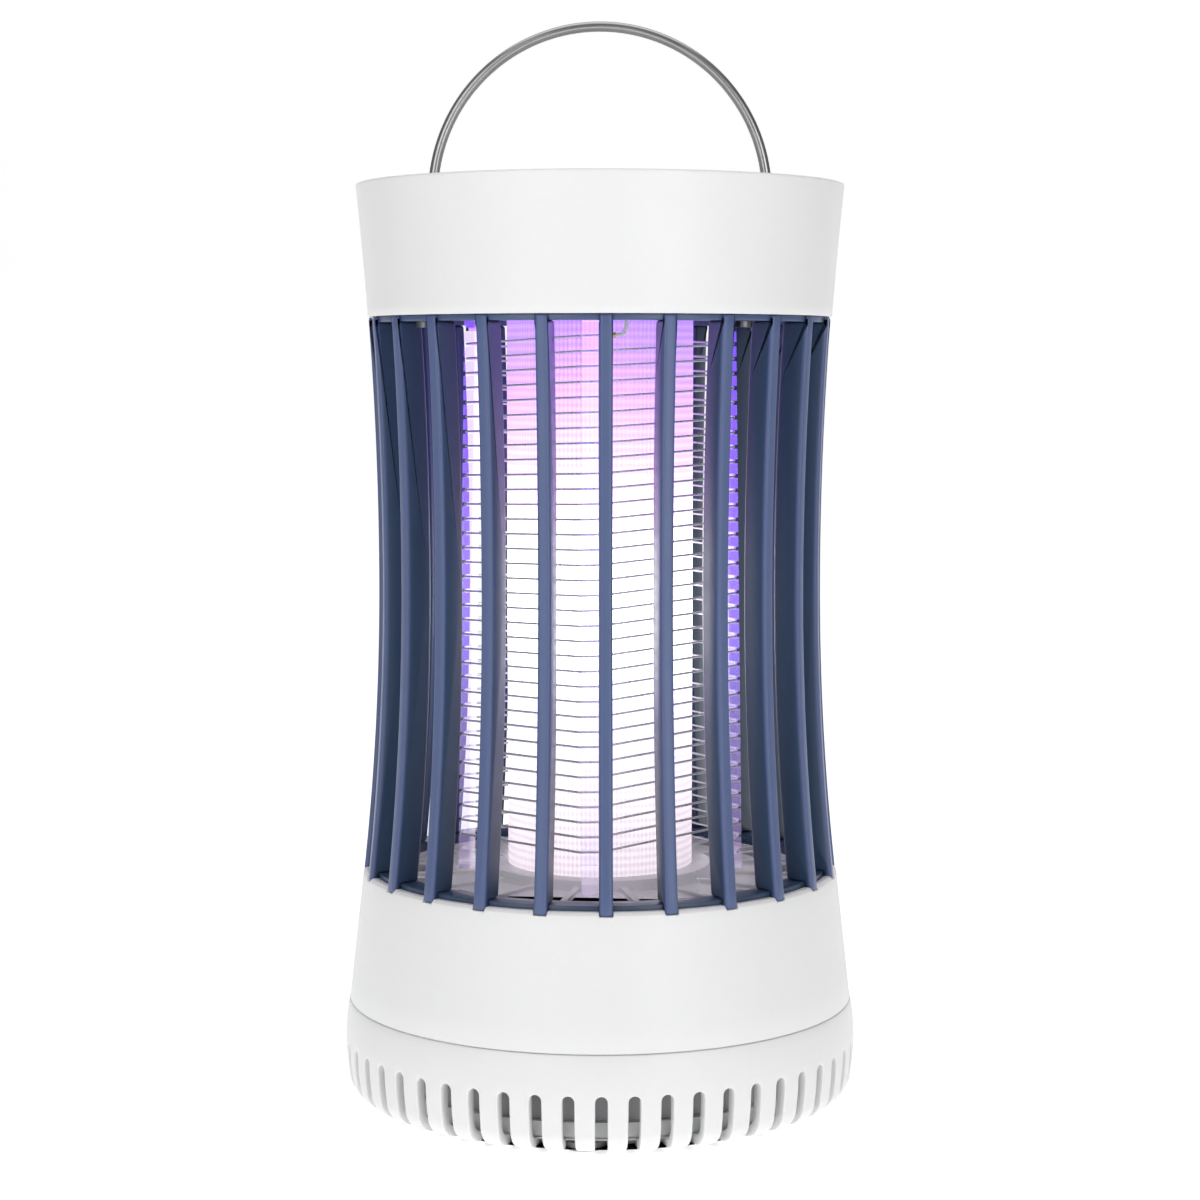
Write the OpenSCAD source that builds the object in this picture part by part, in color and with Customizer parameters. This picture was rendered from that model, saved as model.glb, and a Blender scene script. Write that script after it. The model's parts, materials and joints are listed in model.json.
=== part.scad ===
// Rechargeable electric bug zapper: a waisted lantern with a finned guard, a high-voltage
// wire cage round an ultraviolet lamp, a push-on slotted tray and a folding wire handle.
// Millimetres, +Z up. The origin is on the axis, at the plane the feet stand on.
// The front is towards -Y and the charging socket is at the back, towards +Y.

/* [Overall] */
// Widest diameter of the slotted tray
base_d = 110; // [100:1:132]
// Diameter at the narrowest part of the guard
waist_d = 94.6; // [82:0.1:110]
// Diameter of the top rim
rim_d = 103.2; // [100:0.1:124]
// Height of the tray, from its underside to the seam
tray_h = 20.25; // [18:0.05:26]
// Height of the white skirt over the seam
skirt_h = 27.7; // [25:0.1:34]
// Height of the open guard between the skirt and the head
grille_h = 117.7; // [98:0.1:142]
// Height of the white head
head_h = 27.6; // [27:0.1:34]
// Height of the waist above the skirt
waist_up = 64; // [45:1:80]
// Thickness of the white moulded walls
wall = 2; // [1.6:0.1:2.4]

/* [Tray] */
// Height that the rubber feet lift the tray
foot_lift = 0.75; // [0.5:0.05:2]
// Diameter of a rubber foot
foot_d = 9.6; // [8:0.1:11]
// Radius that rounds the tray's lower edge
tray_edge = 5; // [3:0.5:6]
// Radius of the tray's gently bulging side, seen in section
tray_belly = 45; // [35:1:80]
// Height of the widest point over the tray's underside
belly_up = 11.65; // [9:0.05:14]
// Number of slots round the tray
slot_count = 52; // [36:1:56]
// Width of one slot
slot_w = 2.5; // [1.8:0.1:3]
// Height of the top of the slots over the tray's underside
slot_top = 12.3; // [8:0.1:14]
// Gap at the seam between tray and skirt
seam_gap = 0.3; // [0.2:0.05:0.6]
// Height of the collar that guides the tray into the skirt
collar_h = 5; // [3:0.5:8]
// Wall of the collection cup
cup_wall = 1.5; // [1:0.1:2]
// Depth of the collection cup
cup_h = 18; // [12:0.5:20]

/* [Guard] */
// Number of upright fins
fin_count = 24; // [20:1:28]
// Thickness of a fin
fin_t = 2.7; // [1.8:0.1:3.2]
// Depth of a fin, measured towards the axis
fin_depth = 5.8; // [5.4:0.1:7]
// Turn of the whole ring of fins about the axis
fin_turn = 1.4; // [-7:0.1:7]
// Height of the guard's lower ring
low_ring_h = 2; // [1.5:0.1:3]
// Height of the guard's upper ring
top_ring_h = 4.1; // [3.5:0.1:5]

/* [Floor under the cage] */
// Thickness of the floor plate
plate_t = 2; // [1.6:0.1:3]
// Number of drop slots round the floor plate
drop_count = 16; // [12:1:18]
// Radial width of a drop slot
drop_w = 7; // [5:0.5:8]
// Share of the pitch that a drop slot takes up
drop_share = 0.7; // [0.5:0.05:0.75]

/* [Wire cage] */
// Distance of the posts' outer edge from the axis, at the top
cage_top_r = 28.8; // [26:0.1:31]
// Distance of the posts' outer edge from the axis, at the bottom
cage_foot_r = 30.6; // [28:0.1:33]
// Turn of the four posts about the axis
post_turn = -4; // [-20:1:20]
// Width of a post
post_w = 3.4; // [2.8:0.1:4.5]
// Depth of a post, measured towards the axis
post_depth = 3.2; // [2.6:0.1:4]
// Diameter of the grid wire
grid_wire_d = 0.5; // [0.3:0.05:0.7]
// Rise of each wire in one turn round the cage
wire_lead = 6.2; // [5:0.1:8]
// Height of a notch in a post
notch_h = 0.95; // [0.8:0.05:1.2]
// Depth of a notch in a post
notch_depth = 1; // [0.7:0.1:1.3]

/* [Lamp] */
// Outer diameter of the prismatic lamp tube
tube_d = 39.6; // [34:0.1:40]
// Wall of the lamp tube
tube_wall = 1.4; // [1:0.1:2]
// Side of the square aluminium core that carries the lamps
core_side = 9; // [7:0.5:12]
// Height of the core's foot over the floor plate
core_up = 17.5; // [5:0.5:40]
// Number of lamps on each face of the core
led_rows = 10; // [6:1:12]

/* [Handle] */
// Diameter of the handle's wire
handle_wire_d = 2.2; // [1.8:0.1:3]
// Radius of the handle's bow, to the middle of the wire
handle_r = 35.3; // [30:0.1:37]
// Radius of the bend where the wire turns out to its pin
handle_bend = 1.6; // [1.5:0.1:2.5]
// Height of the pivot over the deck
pivot_up = 1.7; // [1.6:0.1:2]
// Radial clearance of the pins in their lugs
pin_fit = 0.06; // [0.03:0.01:0.1]
// Thickness of a lug
lug_t = 3; // [2:0.1:4]

/* [Head] */
// Depth of the deck below the rim
deck_drop = 5.4; // [5:0.1:8]
// Thickness of the deck
deck_t = 2; // [1.6:0.1:3]
// Thickness of the plate that closes the head from below
head_floor_t = 1.8; // [1.5:0.1:2.5]
// Diameter of the power button
button_d = 12; // [9:0.5:14]
// Height of the button over the deck
button_up = 2; // [1.2:0.1:3]
// Travel of the power button
button_travel = 0.8; // [0.3:0.1:1.2]
// Radial clearance of the button in the deck
button_fit = 0.1; // [0.05:0.01:0.2]
// Diameter of the status light
lens_d = 3; // [2:0.5:4]
// Distance of the status light from the axis
lens_out = 13; // [11:0.5:20]

/* [Charging socket] */
// Width of the socket's shell
socket_w = 9; // [7:0.1:9.4]
// Height of the socket's shell
socket_h = 3.2; // [2.5:0.1:3.4]
// Length of the socket's shell
socket_l = 8.4; // [6:0.1:9]
// Width of the cover flap
flap_w = 13.4; // [12:0.1:16]
// Height of the cover flap
flap_h = 8.4; // [7:0.1:9]
// Thickness of the cover flap
flap_t = 1; // [0.8:0.1:1.2]

/* [Board and cells] */
// Thickness of the circuit board
board_t = 1.6; // [1:0.1:2]
// Height of the board over the head's floor
board_up = 2.2; // [1.5:0.1:3]
// Distance of the board's back edge from the axis
board_back = 41; // [38:0.5:42]
// Distance of the board's front edge from the axis
board_front = 31; // [26:0.5:34]
// Diameter of a rechargeable cell
cell_d = 14; // [10:0.1:14.2]
// Length of a rechargeable cell
cell_l = 49; // [44:0.5:50]

/* [Screws] */
// Diameter of the screws that hold the head together
screw_d = 2; // [1.6:0.1:2.2]
// Diameter of their heads
screw_head_d = 4; // [3:0.1:4.4]
// Height of their heads
screw_head_h = 1.2; // [0.8:0.1:1.6]

/* [Hidden] */

$fn = 96;
eps = 0.01;          // cuts run this far past a face
touch = 0.05;        // gap between pieces that are screwed or clipped together
base_r = base_d / 2;
waist_r = waist_d / 2;
rim_r = rim_d / 2;

// heights of the main joints in the stack
tray_z = foot_lift;
tray_top_z = tray_z + tray_h;
skirt_z = tray_top_z + seam_gap;
skirt_top_z = skirt_z + skirt_h;
head_z = skirt_top_z + grille_h;
rim_z = head_z + head_h;
waist_z = skirt_top_z + waist_up;

// the side view is one smooth curve: a cone, then a hollow curve down to the waist and up to the rim
seam_r = tray_r(tray_top_z) - 0.15;
skirt_share = skirt_h / waist_up;
skirt_top_r = (seam_r + 2 * waist_r * skirt_share) / (1 + 2 * skirt_share);
skirt_slope = 2 * (skirt_top_r - waist_r) / waist_up;
function tray_r(z) = base_r - pow(z - tray_z - belly_up, 2) / (2 * tray_belly);
function lower_r(z) = waist_r + (skirt_top_r - waist_r) * pow((waist_z - z) / waist_up, 2);
function upper_r(z) = waist_r + (rim_r - waist_r) * pow((z - waist_z) / (rim_z - waist_z), 2);
function side_r(z) =
    z > waist_z ? upper_r(z) : z > skirt_top_z ? lower_r(z) : skirt_top_r + (skirt_top_z - z) * skirt_slope;
function steps(a, b, n) = [for (i = [0 : n]) a + (b - a) * i / n];

// tray
tray_wall = 2.2;
edge_r = tray_r(tray_z + tray_edge) - tray_edge;
belly_start = 1.5;
collar_root = 2;
shoulder_drop = 4.5;
seat_t = 1.2;
foot_chamfer = 0.5;
foot_boss = 0.6;
// the slots are set so that one faces the front
slot_turn = -90 + 0.3;
tray_floor_t = 2;
slot_foot_r = base_r - 9;
seat_r = base_r - 6.8;
seat_up = 3.15;
foot_ring_r = base_r - 6 - foot_d / 2;
foot_sunk = 1.2;
foot_turn = -94;
collar_fit = 0.35;
collar_wall = 1.6;
collar_r = side_r(tray_top_z + collar_h) - wall - collar_fit;
cup_r = seat_r - 1.3;

// skirt and floor plate
ledge_top_z = skirt_top_z - 3;
ledge_t = 2.5;
ledge_in_r = skirt_top_r - 7;
skirt_in_r = skirt_top_r - wall + 0.05;
plate_z = ledge_top_z;
plate_top_z = plate_z + plate_t;
plate_r = skirt_in_r - 0.25;
drop_out_r = ledge_in_r - 0.3;
hub_r = tube_d / 2 + 4;
hub_h = 2;
hub_flare = 1.5;
rib_end_r = drop_out_r - 2;
rib_t = 1.4;
rib_h = 0.8;
lead_way = 3;
boss_r = 1.9;
boss_fit = 0.15;
boss_skin = 0.8;
skirt_chamfer = 0.6;
lead_in = 0.8;
screw_fit = 0.1;
boss_ring_r = skirt_top_r - 4.6;
fastener_turn = fin_turn + 2.5 * 360 / fin_count;

// guard
low_ring_top_z = plate_top_z + low_ring_h;
low_ring_r = skirt_in_r - 0.1;
fin_inset = 0.1;
lobe_drop = 0.85;
top_ring_z = head_z - 1.3;
top_ring_top_z = top_ring_z + top_ring_h;
top_ring_r = side_r(head_z) - 1;
top_neck_r = side_r(head_z) - wall - 0.25;
top_ring_in_r = top_neck_r - 4.6;

// head
head_floor_z = top_ring_top_z;
head_in_z = head_floor_z + head_floor_t;
deck_top_z = rim_z - deck_drop;
deck_z = deck_top_z - deck_t;
deck_r = side_r(deck_z) - wall + 0.1;
rim_round = 0.9;
lip_round = 0.7;
seat_w = 3.6;
seat_edge = 1.5;
column_r = 2.6;
column_ring_r = top_neck_r - 1.8;
head_screw_l = 7;

// handle
pivot_z = deck_top_z + pivot_up;
bow_z = pivot_z + handle_bend;
handle_wire_r = handle_wire_d / 2;
lug_r = 2.7;
lug_root = 0.5;
lug_in_x = handle_r + handle_bend + 1.7;
pin_end_x = lug_in_x + lug_t + 0.6;

// lamp and cage
tube_z = plate_top_z + hub_h;
tube_r = tube_d / 2;
post_z = plate_top_z;
post_top_z = head_floor_z;
wire_r = grid_wire_d / 2;
first_wire_z = post_z + 4.5;
whole_turns = floor((post_top_z - 3 - first_wire_z) / wire_lead) - 1;
// each winding: its start above the lowest wire, and its quarter turns; one ends at the front
// post and the other at the back post
live = [0, 4 * whole_turns + 3];
return = [wire_lead / 2, 4 * whole_turns + 1];
function cage_r(z) =
    cage_foot_r + (cage_top_r - cage_foot_r) * (z - post_z) / (post_top_z - post_z);
tenon_r = 0.9;
tenon_l = 1.2;
run_out = 0.4;
sleeve_l = 3;
sleeve_r = 0.6;
grid_lead_r = 0.45;
grid_lead_out = 2.6;
grid_hole_r = 1;

// lamp core, its boards and its leads
core_z = plate_top_z + core_up;
core_l = head_floor_z - touch - core_z;
core_bore_r = core_side * 0.36;
core_lead_r = core_side * 0.3;
lamp_board_t = 1;
lamp_margin = 8;
lamp_side = 2.8;
lamp_h = 0.9;
lamp_lead_x = 1.2;
lamp_lead_r = 0.45;
lamp_lead_z = core_z + core_l - 6;

// cradles and tabs of the cells
cradle_wall = 0.8;
cradle_h = 6;
cradle_short = 14;
cradle_gap = 34;
tab_t = 0.3;
tab_w = 4;
tab_h = 6;
cell_nub_r = 2.6;
battery_lead_r = 0.5;

// parts of the board: transformer, capacitors, plug
tx_x = -7;
tx_y = -21;
tx_w = 12;
tx_d = 10;
tx_h = 9;
cap_r = 3.4;
cap_t = 3;
cap_pitch = 4.4;
diode_r = 1;
diode_l = 4.2;
diode_pitch = 3;
plug_x = 11.2;
plug_y = 4;
plug_w = 5;
plug_l = 7.5;
plug_h = 5.5;

// board and what stands on it
board_z = head_in_z + board_up;
board_top_z = board_z + board_t;
head_in_r = side_r(head_in_z) - wall - 0.9;
cell_x = sqrt(pow(head_in_r, 2) - pow(cell_l / 2 + 1, 2)) - cell_d / 2;
cell_z = head_in_z + 1 + cell_d / 2;
board_w = 2 * (cell_x - cell_d / 2 - 2.6);
switch_side = 6;
switch_h = 3.5;
switch_pin_r = 1.75;
stem_r = 2;
flange_z = deck_z - 1.3;
flange_t = 1;
flange_w = 1.2;
button_chamfer = 0.5;
stem_z = board_top_z + switch_h + 3.4;
switch_pin_z = stem_z - button_travel - 0.1;
socket_z = board_top_z;
socket_mid_z = socket_z + socket_h / 2;
socket_mouth_y = side_r(socket_mid_z) - wall - 1;
flap_y = side_r(socket_mid_z) - flap_t - 0.05;
flap_z = socket_mid_z - flap_h / 2;
flap_hinge_z = flap_z + flap_h + 0.3;
flap_hinge_y = flap_y + 0.5;
bead_r = 0.5;
bead_fit = 0.12;
hinge_room = 1.8;
flap_fit = 0.3;
socket_shell = 0.35;
tongue_t = 0.7;

// repeats the children round the axis
module around(count, start) {
    for (i = [0 : count - 1]) rotate([0, 0, start + i * 360 / count]) children();
}

// a plain ring standing on the floor of its own frame
module ring(out_r, in_r, height) {
    difference() {
        cylinder(r = out_r, h = height);
        translate([0, 0, -1]) cylinder(r = in_r, h = height + 2);
    }
}

// a rod along X, from x0 to x1
module rod_x(r, x0, x1) {
    translate([x0, 0, 0]) rotate([0, 90, 0]) cylinder(r = r, h = x1 - x0);
}

// a box given by its middle in X and Y and by its foot
module block(x, y, z, w, d, h) {
    translate([x - w / 2, y - d / 2, z]) cube([w, d, h]);
}

// a round-headed screw that points down, with the underside of its head at the origin
module screw_down(length) {
    translate([0, 0, -length]) cylinder(r = screw_d / 2 - 0.05, h = length);
    difference() {
        cylinder(r = screw_head_d / 2, h = screw_head_h);
        for (a = [0, 90]) rotate([0, 0, a])
            block(0, 0, screw_head_h * 0.45, 0.5, screw_head_d * 0.55, screw_head_h);
    }
}

// the same screw pointing up
module screw_up(length) {
    mirror([0, 0, 1]) screw_down(length);
}

// sweeps a round wire along points; the up vector must not run along the wire
function unit(v) = v / norm(v);
function along(p, i) =
    let (last = len(p) - 1) unit(p[min(i + 1, last)] - p[max(i - 1, 0)]);
function wire_ring(p, i, r, sides, up) =
    let (t = along(p, i), u = unit(cross(t, up)), v = cross(u, t))
    [for (k = [0 : sides - 1]) p[i] + r * (cos(k * 360 / sides) * u + sin(k * 360 / sides) * v)];
function wire_points(p, r, sides, up) =
    [for (i = [0 : len(p) - 1]) each wire_ring(p, i, r, sides, up)];
function wire_faces(rings, sides) = [
    for (i = [0 : rings - 2], k = [0 : sides - 1])
        let (a = i * sides + k, b = i * sides + (k + 1) % sides)
        each [[a, b, a + sides], [b, b + sides, a + sides]],
    [for (k = [0 : sides - 1]) sides - 1 - k],
    [for (k = [0 : sides - 1]) (rings - 1) * sides + k]
];
module swept_wire(p, r, sides, up) {
    polyhedron(points = wire_points(p, r, sides, up), faces = wire_faces(len(p), sides));
}

// rounds a route of a few points into a smooth one: quadratic bends about each inner point
function bend_at(a, b, c, n) = [
    for (i = [0 : n])
        let (s = i / n)
        pow(1 - s, 2) * (a + b) / 2 + 2 * s * (1 - s) * b + s * s * (b + c) / 2
];
function smooth_route(p, n) = [
    p[0],
    for (i = [1 : len(p) - 2]) each bend_at(p[i - 1], p[i], p[i + 1], n),
    p[len(p) - 1]
];
function distinct(p) = [for (i = [0 : len(p) - 1]) if (i == 0 || norm(p[i] - p[i - 1]) > 0.001) p[i]];
module lead(route, r) {
    p = distinct(smooth_route(route, 4));
    swept_wire(p, r, 6, unit([0.31, 0.17, 0.93]));
}

// four rubber feet let into the tray
module foot_pads() color("dimgray") {
    around(4, foot_turn) translate([foot_ring_r, 0, 0]) {
        translate([0, 0, foot_chamfer])
            cylinder(r = foot_d / 2, h = tray_z + foot_sunk - foot_chamfer - touch);
        cylinder(r1 = foot_d / 2 - foot_chamfer, r2 = foot_d / 2, h = foot_chamfer);
    }
}

// section of the tray: floor, rounded edge, bulging side, shoulder and guide collar
module tray_section() {
    in_edge = tray_edge - tray_wall;
    polygon(concat(
        [[0, tray_z]],
        [for (a = steps(-90, 0, 6)) [edge_r + tray_edge * cos(a), tray_z + tray_edge + tray_edge * sin(a)]],
        [for (z = steps(tray_z + tray_edge + belly_start, tray_top_z, 6)) [tray_r(z), z]],
        [
            [collar_r, tray_top_z], [collar_r, tray_top_z + collar_h],
            [collar_r - collar_wall, tray_top_z + collar_h],
            [collar_r - collar_wall, tray_top_z - collar_root],
            [tray_r(tray_top_z - shoulder_drop) - tray_wall, tray_top_z - shoulder_drop],
            [tray_r(tray_z + tray_edge) - tray_wall, tray_z + tray_edge]
        ],
        [for (a = steps(0, -90, 4)) [edge_r + in_edge * cos(a), tray_z + tray_edge + in_edge * sin(a)]],
        [[edge_r - 1, tray_z + tray_floor_t], [0, tray_z + tray_floor_t]]
    ));
}

// one slot, cut outwards from the tray's floor through its side
module tray_slot() {
    translate([slot_foot_r, 0, 0]) rotate([90, 0, 90]) linear_extrude(base_r - slot_foot_r + 2) union() {
        translate([-slot_w / 2, tray_z - 1]) square([slot_w, slot_top - slot_w / 2 + 1]);
        translate([0, tray_z + slot_top - slot_w / 2]) circle(r = slot_w / 2);
    }
}

module base_tray() color("white") {
    difference() {
        union() {
            difference() {
                rotate_extrude() tray_section();
                around(slot_count, slot_turn) tray_slot();
            }
            translate([0, 0, tray_z + tray_floor_t - eps]) ring(seat_r, seat_r - seat_t, seat_up);
            around(4, foot_turn) translate([foot_ring_r, 0, tray_z])
                cylinder(r = foot_d / 2 + foot_boss, h = tray_floor_t);
        }
        around(4, foot_turn) translate([foot_ring_r, 0, tray_z - 1])
            cylinder(r = foot_d / 2 + touch, h = foot_sunk + 1);
    }
}
// dark cup that sits on the tray's floor, inside the seat ring
module collection_cup() color("slategray") {
    translate([0, 0, tray_z + tray_floor_t + touch]) difference() {
        cylinder(r = cup_r, h = cup_h);
        translate([0, 0, cup_wall]) cylinder(r = cup_r - cup_wall, h = cup_h);
    }
}

// white skirt with a ledge for the floor plate and a notch for the foot of every fin
module skirt_section() {
    polygon([
        [side_r(skirt_z), skirt_z], [side_r(skirt_top_z - skirt_chamfer), skirt_top_z - skirt_chamfer],
        [skirt_top_r - skirt_chamfer, skirt_top_z], [skirt_in_r, skirt_top_z], [skirt_in_r, ledge_top_z],
        [ledge_in_r, ledge_top_z], [ledge_in_r, ledge_top_z - ledge_t],
        [side_r(ledge_top_z - ledge_t) - wall - lead_in, ledge_top_z - ledge_t],
        [side_r(ledge_top_z - ledge_t - lead_in) - wall, ledge_top_z - ledge_t - lead_in],
        [side_r(skirt_z) - wall, skirt_z]
    ]);
}

module base_skirt() color("white") {
    difference() {
        rotate_extrude() skirt_section();
        around(fin_count, fin_turn)
            translate([skirt_in_r - 1, -fin_t / 2 - touch, skirt_top_z - lobe_drop - touch])
                cube([4, fin_t + 2 * touch, 4]);
        around(4, fastener_turn) translate([boss_ring_r, 0, 0]) {
            translate([0, 0, ledge_top_z - ledge_t - 1])
                cylinder(r = screw_d / 2 + screw_fit, h = ledge_t + 2);
            translate([0, 0, ledge_top_z - ledge_t + boss_skin - 0.1])
                cylinder(r = boss_r + boss_fit, h = ledge_t);
        }
    }
}

module skirt_screws() color("silver") {
    around(4, fastener_turn) translate([boss_ring_r, 0, ledge_top_z - ledge_t - touch])
        screw_up(low_ring_top_z - 0.8 - ledge_top_z + ledge_t);
}

// floor under the cage, with radial ribs and a ring of openings that the insects drop through
module drop_slot() {
    sweep = 360 / drop_count * drop_share;
    rotate([0, 0, -sweep / 2]) rotate_extrude(angle = sweep)
        translate([drop_out_r - drop_w, plate_z - 1]) square([drop_w, plate_t + 3]);
}

module floor_plate() color("gainsboro") {
    difference() {
        union() {
            translate([0, 0, plate_z]) cylinder(r = plate_r, h = plate_t);
            translate([0, 0, plate_top_z - eps])
                cylinder(r1 = hub_r + hub_flare, r2 = hub_r, h = hub_h + eps);
            around(drop_count, 0) rotate([0, 0, 180 / drop_count])
                block((hub_r + rib_end_r) / 2, 0, plate_top_z - eps, rib_end_r - hub_r, rib_t, rib_h + eps);
        }
        around(drop_count, 0) drop_slot();
        around(4, fastener_turn) translate([boss_ring_r, 0, plate_z - 1])
            cylinder(r = boss_r + boss_fit, h = plate_t + 2);
        around(4, post_turn) post_foot_cut();
        translate([0, 0, plate_z + plate_t / 2])
            cylinder(r = tube_r - tube_wall - lead_way, h = plate_t + hub_h);
    }
}
// clear place for the foot and tenon of a post
module post_foot_cut() {
    block(cage_foot_r - post_depth / 2, 0, plate_top_z, post_depth + 1, post_w + 0.6, 3);
    translate([cage_foot_r - post_depth / 2, 0, plate_top_z - tenon_l - 0.1])
        cylinder(r = tenon_r + touch, h = 3);
}

// lower ring of the guard, with four screw bosses that reach down through the floor plate
module guard_lower_ring() color("darkslateblue") {
    difference() {
        union() {
            translate([0, 0, plate_top_z]) ring(low_ring_r, boss_ring_r - boss_r - 0.3, low_ring_h);
            around(4, fastener_turn) translate([boss_ring_r, 0, ledge_top_z - ledge_t + boss_skin])
                cylinder(r = boss_r, h = plate_top_z - ledge_top_z + ledge_t - boss_skin + eps);
        }
        around(4, fastener_turn) translate([boss_ring_r, 0, ledge_top_z - ledge_t])
            cylinder(r = screw_d / 2, h = low_ring_top_z - 0.6 - ledge_top_z + ledge_t);
    }
}

// outline of a fin in its own upright plane: its outer edge follows the side view,
// and its two toes lap over the skirt and up to the head
module fin_outline() {
    toe_z = skirt_top_z - lobe_drop;
    tip_z = head_z - 0.1;
    polygon(concat(
        [for (z = steps(toe_z, tip_z, 24)) [side_r(z) - fin_inset, z]],
        [[top_ring_r + touch, tip_z], [top_ring_r + touch, top_ring_z]],
        [for (z = steps(top_ring_z, low_ring_top_z, 20)) [side_r(z) - fin_inset - fin_depth, z]],
        [[low_ring_r + touch * 2, low_ring_top_z], [low_ring_r + touch * 2, toe_z]]
    ));
}

module guard_fins() color("steelblue") {
    around(fin_count, fin_turn) translate([0, fin_t / 2, 0]) rotate([90, 0, 0])
        linear_extrude(fin_t) fin_outline();
}

// upper ring of the guard: it plugs into the head
module guard_upper_ring() color("darkslateblue") {
    difference() {
        rotate_extrude() polygon([
            [top_ring_in_r, top_ring_z], [top_ring_r, top_ring_z], [top_ring_r, head_z - 0.1],
            [top_neck_r, head_z - 0.1], [top_neck_r, top_ring_top_z], [top_ring_in_r, top_ring_top_z]
        ]);
        around(4, fastener_turn) translate([column_ring_r, 0, top_ring_z - 1])
            cylinder(r = screw_d / 2 + 0.1, h = top_ring_h + 2);
    }
}

module guard_screws() color("silver") {
    around(4, fastener_turn) translate([column_ring_r, 0, top_ring_z - touch])
        screw_up(top_ring_h + head_floor_t + head_screw_l - 1);
}

// the four notched posts of the cage; wires of both windings lie in the notches by turns
module post_outline(phase) {
    notches = floor((post_top_z - 2.5 - first_wire_z - phase) / (wire_lead / 2));
    polygon(concat(
        [[cage_r(post_z) - post_depth, post_z], [cage_r(post_z), post_z]],
        [for (i = [0 : notches])
            let (z = first_wire_z + phase + i * wire_lead / 2, r = cage_r(z))
            each [
                [r, z - notch_h / 2], [r - notch_depth, z - notch_h / 2],
                [r - notch_depth, z + notch_h / 2], [r, z + notch_h / 2]
            ]],
        [[cage_r(post_top_z), post_top_z - touch],
            [cage_r(post_top_z) - post_depth, post_top_z - touch]]
    ));
}

module grid_posts() color("plum") {
    for (i = [0 : 3]) rotate([0, 0, post_turn + 90 * i]) {
        translate([0, post_w / 2, 0]) rotate([90, 0, 0]) linear_extrude(post_w) post_outline(wire_phase(i));
        translate([cage_foot_r - post_depth / 2, 0, post_z - tenon_l])
            cylinder(r = tenon_r, h = tenon_l + 1);
        translate([cage_top_r - post_depth / 2, 0, post_top_z - 1]) cylinder(r = tenon_r, h = tenon_l + 1);
    }
}
// the wires climb as they go round, so each post's notches start a quarter of a lead higher,
// brought back by whole notch pitches
function wire_phase(i) = (i * wire_lead / 4) % (wire_lead / 2);

// route of one winding: two points on the outside of every post it passes
function wire_seat(z) = cage_r(z) - notch_depth + wire_r + touch;
function wire_route(winding) = [
    for (k = [0 : winding[1]], side = [-1, 1])
        let (a = post_turn + 90 * k, across = side * (post_w / 2 + run_out))
        let (z = first_wire_z + winding[0] + wire_lead * k / 4 + side * 0.06, r = wire_seat(z))
        [r * cos(a) - across * sin(a), r * sin(a) + across * cos(a), z]
];
module live_wire() color("lightsteelblue") {
    swept_wire(wire_route(live), wire_r, 6, [0, 0, 1]);
}
module return_wire() color("silver") {
    swept_wire(wire_route(return), wire_r, 6, [0, 0, 1]);
}

// crimp sleeves that join the top end of each winding to its lead
function winding_end(winding) = let (p = wire_route(winding)) p[len(p) - 1];
function winding_heading(winding) = let (p = wire_route(winding)) unit(p[len(p) - 1] - p[len(p) - 2]);
module grid_terminals() color("goldenrod") {
    for (winding = [live, return]) {
        p = winding_end(winding);
        d = winding_heading(winding);
        swept_wire([p + touch * d, p + (sleeve_l + touch) * d], sleeve_r, 8, [0, 0, 1]);
    }
}

// insulated leads from the sleeves up through the head's floor to the board
function sleeve_end(winding) = winding_end(winding) + (sleeve_l + 2 * touch) * winding_heading(winding);
function grid_lead_route(winding) =
    let (p = sleeve_end(winding), d = winding_heading(winding), q = p + grid_lead_out * d)
    [p, p + (grid_lead_out - 0.4) * d, [q.x, q.y, head_in_z + 1], [q.x, q.y, board_z - touch]];
module grid_leads() color("firebrick") {
    for (winding = [live, return]) lead(grid_lead_route(winding), grid_lead_r);
}

// clear tube with the lamps inside
module lamp_tube() color("thistle", 0.5) {
    translate([0, 0, tube_z]) ring(tube_r, tube_r - tube_wall, head_floor_z - touch - tube_z);
}

module lamp_core() color("silver") {
    difference() {
        translate([0, 0, core_z + core_l / 2]) cube([core_side, core_side, core_l], center = true);
        translate([0, 0, core_z - 1]) cylinder(r = core_bore_r, h = core_l + 2);
    }
}

module lamp_boards() color("whitesmoke") {
    around(4, 0) translate([core_side / 2 + touch, -core_side / 2 + 0.5, core_z + 2])
        cube([lamp_board_t, core_side - 1, core_l - 4]);
}

module uv_lamps() color("mediumpurple") {
    around(4, 0) for (z = steps(core_z + lamp_margin, core_z + core_l - lamp_margin, led_rows - 1))
        translate([core_side / 2 + 2 * touch + lamp_board_t, -lamp_side / 2, z - lamp_side / 2])
            cube([lamp_h, lamp_side, lamp_side]);
}

// two leads that come up inside the core and through the head's floor to the board
module lamp_leads() color("white") {
    for (x = [-lamp_lead_x, lamp_lead_x]) translate([x, 0, lamp_lead_z])
        cylinder(r = lamp_lead_r, h = board_z - lamp_lead_z);
}

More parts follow.
